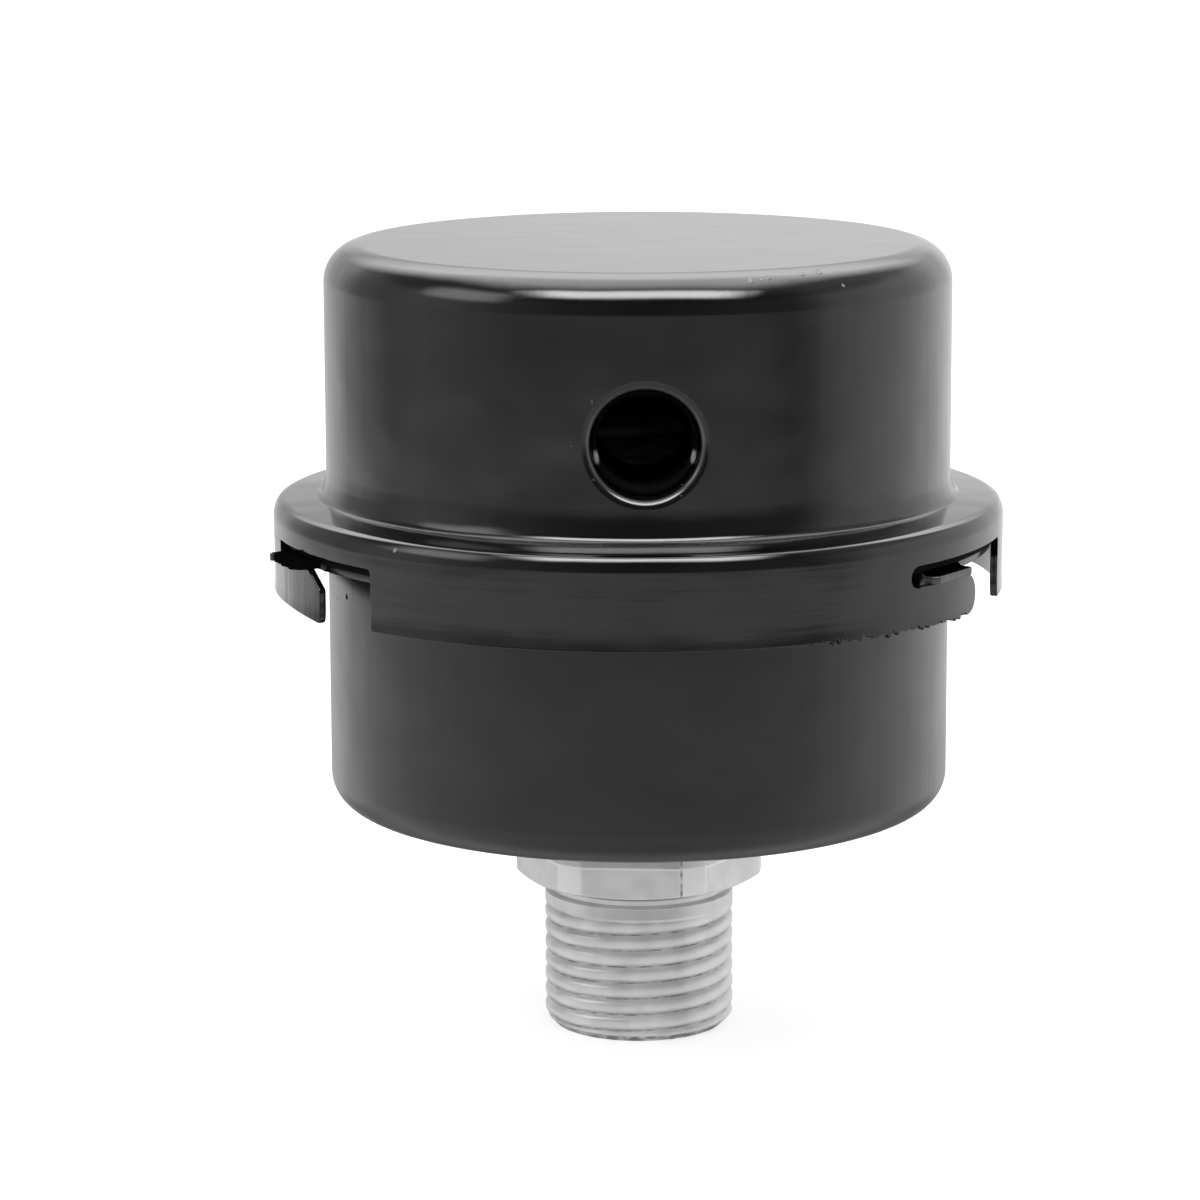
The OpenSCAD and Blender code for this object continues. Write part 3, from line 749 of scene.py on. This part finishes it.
def cut_edge(skin, line, closed, place, wear):
    """Closes the edge of a sheet along a line, rounded on both sides, and returns the rim line."""
    left = inward(line, closed)
    angles = (0, 30, 60, 90)
    rings = [(1 - sin(radians(a)), 1 - cos(radians(a))) for a in angles]
    insets = [(edge_round * i, edge_round * d) for i, d in rings]
    insets += [(i, sheet - d) for i, d in reversed(insets)]
    rows = []
    for inset, depth in insets:
        row = []
        flat = inset == edge_round
        for (x, y), (nx, ny) in zip(line, left):
            # Each row takes a mark: wear on the cut edge, or painted highlight or painted shade where the
            # place or edge says
            spot, normal, matt_shade_mark = place(x + nx * inset, y + ny * inset, depth)
            row.append(skin.point(spot, normal if flat else (0, 0, 0), matt_shade_mark if flat else wear(x, y)))
        rows.append(row)
    skin.join(rows, closed)
    return line + left * edge_round


cup_r = 34.05
cup_floor = 25.7
cup_edge_r = 3.5
rim_top = 55.5
rim_under = rim_top - sheet
rim_r = 38.7
rim_bend_r = 1.5
rim_start = cup_r + rim_bend_r
fit_hole_r = 9.1
flange_r = 40.0
lug_width = 7.6
lug_reach = [41.99, 40.6, 40.98]
lug_turn = -64.6
lug_sag = 0.4
lug_lift = 0.35
cup_levels = 10
cup_straight = rim_under - rim_bend_r - cup_floor - cup_edge_r
rim_turn_step = 1.5
shade_black_rim = (42, 51)
back_lug_from = 15
left_tip_x = -38.9
rim_spacing = 0.2

cup = Skin()
cup_outside = rounded([
    (fit_hole_r, cup_floor, 0), (cup_r, cup_floor, cup_edge_r),
    (cup_r, rim_under, rim_bend_r), (rim_start, rim_under, 0)])
cup_inside = rounded([
    (rim_start, rim_top, 0), (cup_r - sheet, rim_top, rim_bend_r + sheet),
    (cup_r - sheet, cup_floor + sheet, cup_edge_r - sheet), (fit_hole_r, cup_floor + sheet, 0)])


def with_levels(profile):
    """Adds rows to the long straight stretch of one of the cup's profiles."""
    made = []
    for here, after in zip(profile, profile[1:] + [None]):
        made.append(here)
        if after and abs(after[1] - here[1]) > cup_straight * 0.8:
            share = [i / cup_levels for i in range(1, cup_levels)]
            made += [(here[0], here[1] + (after[1] - here[1]) * s, here[2], here[3]) for s in share]
    return made


cup.lathe(with_levels(cup_outside))
cup.lathe(with_levels(cup_inside), edge=-1.0)
cup.lathe([(fit_hole_r, cup_floor + sheet, 0, 0), (fit_hole_r, cup_floor, 0, 0)])


def on_rim(x, y, depth):
    """A place on the rim or a lug: the right lug is bent down a little, the left up, the back not."""
    up = 1 if depth < sheet / 2 else -1
    # The top side of the rim and lugs is marked to be painted dull black as shade
    matt_shade_mark = -1.0 if depth < sheet / 2 else 0.0
    beyond = min(1, max(0, (hypot(x, y) - rim_r) / 0.5))
    bent = lug_sag if x > 0 else -lug_lift
    sag = bent * beyond ** 2 * (3 - 2 * beyond) if y < back_lug_from else 0
    return (x, y, rim_top - sag - depth), (0, 0, up), matt_shade_mark


rim_corners = []
for k, reach in enumerate(lug_reach):
    middle = lug_turn + 120 * k
    half = lug_width / 2
    foot = sqrt(rim_r ** 2 - half ** 2)
    along = radians(middle)
    east, north = cos(along), sin(along)
    shape = [(-half, foot, 0.4), (-half, reach, 0.8), (half, reach, 0.8), (half, foot, 0.4)]
    for x, far, radius in shape:
        rim_corners.append((x * east + far * north, x * north - far * east, radius))
    lug_half = degrees(asin(half / rim_r))
    for turn in np.arange(middle + lug_half + rim_turn_step, middle + 120 - lug_half - 1, rim_turn_step):
        rim_corners.append((*around(rim_r, turn, 0)[:2], 0))
rim_line = resample(rounded(rim_corners, closed=True, step=15), rim_spacing, closed=True)

# The tips of the lugs were sheared, the left one roughly
shear = [noise.noise((x * 2.3, y * 2.3, 1.0)) for x, y in rim_line]
rough_tip = [
    np.clip(hypot(x, y) - rim_r - 0.4, 0, 1) * (0.35 if x < 0 else 0.02) for x, y in rim_line]
rim_line = rim_line + inward(rim_line, True) * (np.array(shear) * np.array(rough_tip) + 0.02)[:, None]


def rim_wear_and_light(x, y):
    """Edge marks of the rim: the left lug is painted dull black as shade but for its tip, the right lug and
    that tip carry a painted highlight, a stretch of rim is painted dull black as shade, and the rest is
    worn.
    """
    if hypot(x, y) < rim_r + 0.3 or y > back_lug_from:
        return -1.0 if shade_black_rim[0] < degrees(atan2(x, -y)) < shade_black_rim[1] else 1.0
    return 1.8 if x > 0 or x < left_tip_x else -1.0


rim_edge = cut_edge(cup, rim_line, True, on_rim, rim_wear_and_light)
rim_inner = [around(rim_start, t, 0)[:2] for t in range(360)]
for depth in (0.0, sheet):
    fill(cup, [rim_edge, rim_inner], lambda x, y: on_rim(x, y, depth))
# The last dark spot, on the cup's wall behind the right slot, is painted shade
cup_enamel = enamel(
    "satin_black_cup_enamel", (0.006, 0.006, 0.0065, 1), dull=0.24, wear=0.35, peel=3.0, streaks=40.0,
    dark_spots_and_shade=[(-31.3, -13.3, 50.7, 0.36), (-32.6, -9.8, 49.8, 0.15), (29.5, -17.0, 52.9, 1.6)])
finish(cup.piece("base_cup"), "base", "cup_enamel", cup_enamel, "base_shell")


# Lock washer and lock nut.
# A toothed steel washer and a thin plated nut on the tail of the fitting clamp the cup from inside.
def carried(name, finish_material):
    """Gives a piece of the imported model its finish."""
    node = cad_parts[name]
    node.data.materials.clear()
    node.data.materials.append(finish_material)


inner_zinc = turned_zinc("zinc_plated_inner_sheet", (0.45, 0.46, 0.47, 1), dull=0.38)
carried("lock_washer", inner_zinc)
carried("lock_nut", fitting_zinc)

# Filter element.
# A zigzag of resin treated paper round a perforated zinc tube. Both ends are cast into zinc caps
# with red potting, and the whole stands on a rubber ring on the floor of the cup.
def plain(name, dark, light, grain, relief, look):
    """Material in two close tones: its grain sizes, relief (strength, depth) and other inputs."""
    made, nodes = material(name)
    place, fine = grained(nodes, *grain)
    tone = nodes.blend(fine.outputs[1], (*dark, 1), (*light, 1))
    shaded(nodes, fine, *relief, {"Base Color": tone, **look})
    return made


rubber = plain(
    "matt_black_rubber", (0.0015, 0.0015, 0.0015), (0.003, 0.003, 0.003), grain=(0.4, 4.0, 0.7),
    relief=(0.4, 0.00004), look={"Roughness": 0.85, "Specular IOR Level": 0.08})
potting = plain(
    "red_cast_potting", (0.3, 0.05, 0.025), (0.38, 0.07, 0.035), grain=(0.8, 6.0, 1.2),
    relief=(0.5, 0.00008), look={"Roughness": 0.45})
filter_paper = plain(
    "resin_treated_paper", (0.55, 0.47, 0.31), (0.66, 0.59, 0.42), grain=(0.25, 7.0, 0.5),
    relief=(0.6, 0.00006), look={"Roughness": 0.9})
carried("seat_ring", rubber)
carried("pleated_paper", filter_paper)
for name in ("element_lower_cap", "element_core", "element_upper_cap"):
    carried(name, inner_zinc)
for name in ("element_lower_potting", "element_upper_potting"):
    carried(name, potting)

# Hold-down spring and its cup.
# A coil of black phosphated wire with closed ends presses the element down. A small zinc cup,
# fixed under the top of the cover, centres it.
spring_low, spring_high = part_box("hold_down_spring")
spring_sizes = {
    "Coil radius": 0.011, "Wire radius": 0.0007, "Bottom": spring_low.z, "Top": spring_high.z,
    "Turns": 4.5, "Points": 320}
writer, given = shape_tree("coil_spring", spring_sizes)
index = writer.add("GeometryNodeInputIndex")
share = writer.divided(index, writer.minus(given["Points"], 1.0))
all_turns = writer.plus(given["Turns"], 2.0)
turn = writer.times(share, all_turns)
wire = writer.times(given["Wire radius"], 2.0)
low = writer.plus(given["Bottom"], given["Wire radius"])
high = writer.minus(given["Top"], given["Wire radius"])
open_rise = writer.minus(writer.minus(high, low), writer.times(wire, 2.0))
open_end = writer.plus(given["Turns"], 1.0)
middle = writer.add("ShaderNodeMapRange", turn, 1.0, open_end, 0.0, open_rise)
flat_low = writer.add("ShaderNodeMapRange", turn, 0.0, 1.0, 0.0, wire)
flat_high = writer.add("ShaderNodeMapRange", turn, open_end, all_turns, 0.0, wire)
rise = writer.plus(writer.plus(flat_low, middle), writer.plus(flat_high, low))
angle = writer.times(turn, 2 * pi)
coil_x = writer.times(writer.math("COSINE", angle), given["Coil radius"])
coil_y = writer.times(writer.math("SINE", angle), given["Coil radius"])
on_coil = writer.add("ShaderNodeCombineXYZ", coil_x, coil_y, rise)
line = writer.add("GeometryNodeMeshLine", given["Points"])
coil = writer.add("GeometryNodeMeshToCurve", writer.add("GeometryNodeSetPosition", line, None, on_coil))
section = writer.add("GeometryNodeCurvePrimitiveCircle", 12, named={"Radius": given["Wire radius"]})
solid = writer.add("GeometryNodeCurveToMesh", coil, section, named={"Fill Caps": True})
end_tree(writer, given, solid)
spring_wire = plain(
    "phosphated_spring_wire", (0.03, 0.03, 0.032), (0.06, 0.06, 0.063), grain=(0.3, 3.0, 0.5),
    relief=(0.3, 0.00003), look={"Metallic": 0.6, "Roughness": 0.55})
spring_start = placed("spring_start", bpy.data.meshes.new("spring_start"))
spring = baked("hold_down_coil", spring_start, writer.tree, Finish=spring_wire, **spring_sizes)
spring.data.shade_smooth()
finish(spring, "cover", "spring_steel", spring_wire, "hold_down_spring")
carried("spring_cup", inner_zinc)

# Cover gasket.
# A moulded rubber ring in the corner under the flange, which the rim of the cup presses on.
gasket_top = 59.4
gasket_inner = 34.8
gasket_outer = 39.12
gasket_bevel = 1.4
gasket = Skin()
gasket.ring([
    (gasket_inner, rim_top, 0.3), (gasket_outer, rim_top, 0.3),
    (gasket_outer, gasket_top - gasket_bevel, 0.6), (gasket_outer - gasket_bevel, gasket_top, 0.6),
    (gasket_inner, gasket_top, 0.3)], step=20)
finish(gasket.piece("cover_gasket_ring"), "cover", "black_rubber", rubber, "cover_gasket")

# Cover.
# One drawn steel cover in glossy black enamel: flat top, round wall, and a flange whose skirt
# has three bayonet slots. The inlet hole is pierced and its edge drawn in as a collar.
cover_r = 34.2
cover_top = 87.6
cover_edge_r = 4.1
flange_top = 60.2
flange_slope = 5.5
flange_edge_bends = [(2.5, 55), (0.6, 29), (2.1, flange_slope)]
flange_root_bends = [(-0.4, 32), (-1.2, 67), (-4.6, 86), (-20, 90)]
skirt_z = 49.9
skirt_top = 58.04
hook_z = 54.65
slot_z = 56.45
slot_back = 3.2
hook_past = 2.2
mouth_room = [0.56, 0.8, 0.8]
inlet_z = 70.3
inlet_turn = 1.3
inlet_r = 5.6
inlet_angles = [2 * pi * i / 96 for i in range(96)]
to_inlet = Matrix.Rotation(radians(inlet_turn), 3, "Z")
collar_in = 4.6

cover = Skin()


def drawn(radius, z, tilt, bends, flat=0.0, flat_tilt=0.0):
    """Profile of the drawn flange: bends of (radius, tilt they end at) with one flat among them."""
    made = [(radius, z, sin(radians(tilt)), cos(radians(tilt)))]
    for bend, end in bends:
        steps = max(2, round(abs(end - tilt) / 4))
        for k in range(1, steps + 1):
            a, b = (radians(tilt + (end - tilt) * (k + i) / steps) for i in (-1, 0))
            radius -= bend * (sin(a) - sin(b))
            z += bend * (cos(b) - cos(a))
            made.append((radius, z, sin(b), cos(b)))
        tilt = end
        if end == flat_tilt:
            radius -= flat * cos(radians(tilt))
            z += flat * sin(radians(tilt))
            made.append((radius, z, *made[-1][2:]))
    return made


flange_bends = flange_edge_bends + flange_root_bends
flat_run = drawn(flange_r, skirt_top, 90, flange_bends)[-1][0] - cover_r
flat_width = flat_run / cos(radians(flange_slope))
flange_outside = drawn(flange_r, skirt_top, 90, flange_bends, flat_width, flange_slope)
flange_outside[-1] = (cover_r, *flange_outside[-1][1:])
wall_foot = flange_outside[-1][1]
flange_inside = rounded([
    (flange_r - sheet, skirt_top, 0), (flange_r - sheet, flange_top - sheet, 1.3),
    (cover_r - sheet, flange_top - sheet, 2.4), (cover_r - sheet, wall_foot, 0)])
flange_inside = [(r, z, -out, -rise) for r, z, out, rise in flange_inside]
cover.lathe(flange_outside)
cover.lathe(flange_inside, edge=-1.0)
wall_head = cover_top - cover_edge_r
top_outside = rounded([
    (cover_r, wall_head, 0), (cover_r, cover_top, cover_edge_r), (20, cover_top, 0)], step=5)[1:]
top_outside += [(r, cover_top, 0, 1) for r in (10, 4, 0)]
top_inside = [(max(0, r - sheet * out), z - sheet * rise, -out, -rise) for r, z, out, rise in top_outside]
cover.lathe(top_outside)
cover.lathe(top_inside, edge=-1.0)

# The wall is turned all round but for a window at the inlet, which is filled after the collar
window = (-16, 19)
wall_steps = 14
wall_levels = [wall_foot + (wall_head - wall_foot) * i / wall_steps for i in range(wall_steps + 1)]
plain_turns = range(window[1], window[0] + 361)
cover.lathe([(cover_r, z, 1, 0) for z in wall_levels], plain_turns, closed=False)
cover.lathe([(cover_r - sheet, z, -1, 0) for z in wall_levels], plain_turns, closed=False, edge=-1.0)


def bordered(lower, levels, upper):
    """Closes a border: a lower line, an upper one, and the levels of the two sides between them."""
    right = [(lower[-1][0], z) for z in levels[1:-1]]
    left = [(lower[0][0], z) for z in levels[-2:0:-1]]
    return lower + right + upper[::-1] + left


def window_frame(radius):
    """The border of the window in the wall that holds the inlet, unrolled at a radius."""
    across = [radians(t) * radius for t in range(window[0], window[1] + 1)]
    return bordered([(u, wall_foot) for u in across], wall_levels, [(u, wall_head) for u in across])


def inlet_ring(reach, radius):
    """A ring round the inlet's axis as it lies on the wall, unrolled at a radius."""
    ring = []
    for angle in inlet_angles:
        aside = asin(reach * cos(angle) / radius) + radians(inlet_turn)
        ring.append((aside * radius, inlet_z + reach * sin(angle)))
    return ring


mouth_lead_r = 8.0
mouth_lead = 0.05
mouth_r = 1.1
mouth_corner = inlet_r + 1.9
mouth_deep = (mouth_corner - inlet_r) * tan(radians(mouth_lead))
mouth_start = mouth_corner + mouth_lead_r * tan(radians(mouth_lead / 2))
collar_r = inlet_r + sheet
collar_profile = rounded([
    (mouth_start, 0, 0), (mouth_corner, 0, mouth_lead_r), (inlet_r, -mouth_deep, mouth_r),
    (inlet_r, -collar_in, 0.15), (collar_r, -collar_in, 0.15), (collar_r, -sheet, 0.5),
    (collar_r + 0.8, -sheet, 0)])[1:]


def collar_point(reach, rise, out, lift, angle):
    """A point of the collar by its distance from the inlet's axis and its height over the wall."""
    x = reach * cos(angle)
    z = inlet_z + reach * sin(angle)
    radius = cover_r + rise
    deep = sqrt(radius ** 2 - x ** 2)
    along = Vector((cos(angle), x / deep * cos(angle), sin(angle)))
    across = Vector((-sin(angle), -x / deep * sin(angle), cos(angle)))
    outward = Vector((0, -radius / deep, 0))
    run = along * lift - outward * out
    normal = run.cross(across).normalized()
    guess = along * out + outward * lift
    if normal.dot(guess) < 0:
        normal.negate()
    return to_inlet @ Vector((x, -deep, z)), to_inlet @ normal


collar_rows = []
for reach, rise, out, lift in collar_profile:
    ring = [collar_point(reach, rise, out, lift, angle) for angle in inlet_angles]
    # The mouth is painted lighter where it faces half inwards: a painted highlight on its bend
    painted_sheen = 1 + max(0, -2 * out * lift) ** 8
    collar_rows.append([cover.point(tuple(spot), tuple(normal), painted_sheen) for spot, normal in ring])
cover.join(collar_rows, closed=True)
outer_wall = (cover_r, collar_profile[0][0], 1)
inner_wall = (cover_r - sheet, collar_profile[-1][0], -1)
for radius, reach, side in (outer_wall, inner_wall):
    fill(cover, [window_frame(radius), inlet_ring(reach, radius)], lambda u, z: (
        around(radius, degrees(u / radius), z), around(side, degrees(u / radius), 0),
        min(0.0, float(side))))

# The slots are drawn on the unrolled skirt, from one plain place right round to it again. The left
# one has a ramp at the nose of its hook; the right and the back one have a round nose and a relief
lug_half = degrees(asin(lug_width / 2 / flange_r))
seam = -150
hook_low = [0.5, 1.9, 1.6]
hook_top = [2.4, 2.1]
slot_relief = [1.15, 1.1]
ramp_run = 2.8
ramp_drop = 1.65
slot_spacing = 0.16
skirt_spacing = (0.7, 0.9)
skirt_levels = 8


def along_skirt(turn):
    return radians(turn) * flange_r


skirt_corners = [(along_skirt(seam), skirt_z, 0)]
for k in range(3):
    lug = lug_turn + 120 * k
    end_u = along_skirt(lug - lug_half) - slot_back
    nose_u = along_skirt(lug + lug_half) + hook_past
    mouth_u = nose_u + along_skirt(2 * lug_half) + mouth_room[k]
    skirt_corners.append((nose_u, skirt_z, hook_low[k]))
    if k == 0:
        skirt_corners += [(nose_u, hook_z - ramp_drop, 0.3), (nose_u - ramp_run, hook_z, 0.3)]
        skirt_corners += [(end_u, hook_z, 0.2), (end_u, slot_z, 0.2)]
    else:
        low_top = hook_z - (lug_sag if k == 1 else 0)
        skirt_corners.append((nose_u, low_top, hook_top[k - 1]))
        relief = slot_relief[k - 1]
        first = degrees(asin((relief - slot_z + low_top) / relief))
        for angle in np.linspace(first, -270, 18):
            bend = radians(angle)
            skirt_corners.append((
                end_u + relief * (1 + cos(bend)), slot_z - relief * (1 - sin(bend)), 0))
    skirt_corners += [(mouth_u, slot_z, 0.5), (mouth_u, skirt_z, 0.35)]
skirt_corners.append((along_skirt(seam + 360), skirt_z, 0))
skirt_line = resample(rounded(skirt_corners, step=15), slot_spacing, closed=False)

# The lower edge was sheared with a blunt tool, most of all towards the hook at the right
rough_from, rough_to = along_skirt(25), along_skirt(62)
rough_deep = 0.65
plain_deep = 0.02
ragged = []
for u, z in skirt_line:
    low = np.clip((skirt_z + 1.2 - z) / 0.8, 0, 1)
    inside_rough = np.clip(min(u - rough_from, rough_to - u) / 3, 0, 1)
    coarse = noise.noise((u * 0.9, 3.0, 0.0)) + noise.noise((u * 2.3, 7.0, 0.0))
    fine = plain_deep * noise.noise((u * 1.3, z * 1.3, 0.0))
    ragged.append(fine + low * inside_rough * rough_deep * coarse)
ragged = np.array(ragged) * np.clip(np.minimum(
    skirt_line[:, 0] - skirt_line[0, 0], skirt_line[-1, 0] - skirt_line[:, 0]) / 5, 0, 1)
skirt_line = skirt_line + inward(skirt_line, False) * ragged[:, None]


def skirt_waist(z):
    """How far the skirt lies inside its full radius: it narrows a little, then flares at its edge."""
    waist, flare = 0.06, 1.6
    if z < skirt_z + flare:
        return waist * (1 - ((skirt_z + flare - z) / flare) ** 2)
    share = (skirt_top - z) / (skirt_top - skirt_z - flare)
    return waist * (3 * share ** 2 - 2 * share ** 3)


hook_flare = 0.55
hook_rise = 0.5
hook_droop = 0.35
hook_from = along_skirt(lug_turn - lug_half) - slot_back
hook_to = along_skirt(lug_turn + lug_half) + hook_past


def on_skirt(u, z, depth):
    """A place on the skirt; the hook at the left is bent out and down a little."""
    turn = degrees(u / flange_r)
    slope = (skirt_waist(z + 0.01) - skirt_waist(z - 0.01)) / 0.02
    side = 1 if depth < sheet / 2 else -1
    along = (u - hook_from) / (hook_to - hook_from)
    bent = along ** 2 if 0 < along < 1.05 and z < (hook_z + slot_z) / 2 else 0
    upper = (z - skirt_z) / (hook_z - skirt_z)
    z += bent * (hook_rise * upper - hook_droop * (1 - upper))
    place = around(flange_r - skirt_waist(z) - depth + hook_flare * bent, turn, z)
    # The inside of the skirt near the slots' tops, and all of its left half, is painted dull black as shade
    matt_and_shade = side < 0 and (z > slot_z - 0.9 or turn < 0)
    return place, around(side, turn, side * slope), -1.0 if matt_and_shade else 0.0


# The slots' upper cut edges are painted dull black as shade; the lower ones are worn
skirt_rim = cut_edge(
    cover, skirt_line, False, on_skirt, lambda u, z: -1.0 if z > hook_z - 0.3 else 1.0)
side_levels = np.linspace(skirt_rim[0][1], skirt_top, skirt_levels)
skirt_head = [(along_skirt(t), skirt_top) for t in range(seam, seam + 361)]
skirt_loop = bordered([tuple(p) for p in skirt_rim], side_levels, skirt_head)
for depth in (0.0, sheet):
    fill(cover, [skirt_loop], lambda u, z: on_skirt(u, z, depth), skirt_spacing)
cover_enamel = enamel(
    "glossy_black_cover_enamel", (0.0045, 0.0045, 0.0048, 1), dull=0.1, wear=0.3, peel=2.0,
    streaks=30.0, rings_below=flange_top / 1000,
    chips=[
        (11.5, -30.5, 86.8, 0.4), (12.6, -29.9, 86.8, 0.25), (13.3, -29.5, 86.9, 0.35),
        (16.8, -27.4, 87.1, 0.35), (18.6, -26.1, 87.1, 0.4), (21.2, -26.0, 85.7, 0.2),
        (-25.9, -30.5, 59.0, 0.22), (-25.2, -31.0, 59.0, 0.3)])
finish(cover.piece("cover"), "cover", "cover_enamel", cover_enamel, "cover_shell")

# Inlet tube.
# A short rolled steel tube under thin black paint, pressed into the collar. It leads the air in.
tube_front = cover_r - 2.8
tube_length = 16.0
tube_outer = 5.55
tube_inner = 5.0
tube_back = tube_front - tube_length
tube_steps = 96
tube = Skin()
tube.ring([
    (tube_outer, tube_back, 0.1), (tube_outer, tube_front, 0.15), (tube_inner, tube_front, 0.2),
    (tube_inner, tube_back, 0.1)], step=20, turns=[360 / tube_steps * i for i in range(tube_steps)])
lie = to_inlet @ Matrix.Rotation(radians(90), 3, "X")
tube.points = [tuple(lie @ Vector(p) + Vector((0, 0, inlet_z))) for p in tube.points]
tube.normals = [tuple(lie @ Vector(n)) for n in tube.normals]

# Two small painted glints near the front, one on each side, painted as light grey spots
tube_paint, nodes = material("thin_black_tube_paint")
place, grain = grained(nodes, 0.5, 3.0, 0.8)
x, y, z = nodes.split(place)
from_side = nodes.away(nodes.away(x, 0.0007), 0.005)
painted_glints = nodes.times(nodes.fade(from_side, 0.0004, 0.0001), nodes.fade(nodes.away(z, 0.0687), 0.0009, 0.0003))
painted_glints = nodes.times(painted_glints, nodes.math("LESS_THAN", y, -0.0305))
tone = nodes.blend(grain.outputs[1], (0.001, 0.001, 0.001, 1), (0.002, 0.002, 0.002, 1))
tone = nodes.blend(painted_glints, tone, (0.3, 0.3, 0.3, 1))
shaded(nodes, grain, 0.6, 0.00004, {"Base Color": tone, "Roughness": 0.8, "Specular IOR Level": 0.06})
finish(tube.piece("inlet_tube_rolled"), "cover", "tube_steel", tube_paint, "inlet_tube")
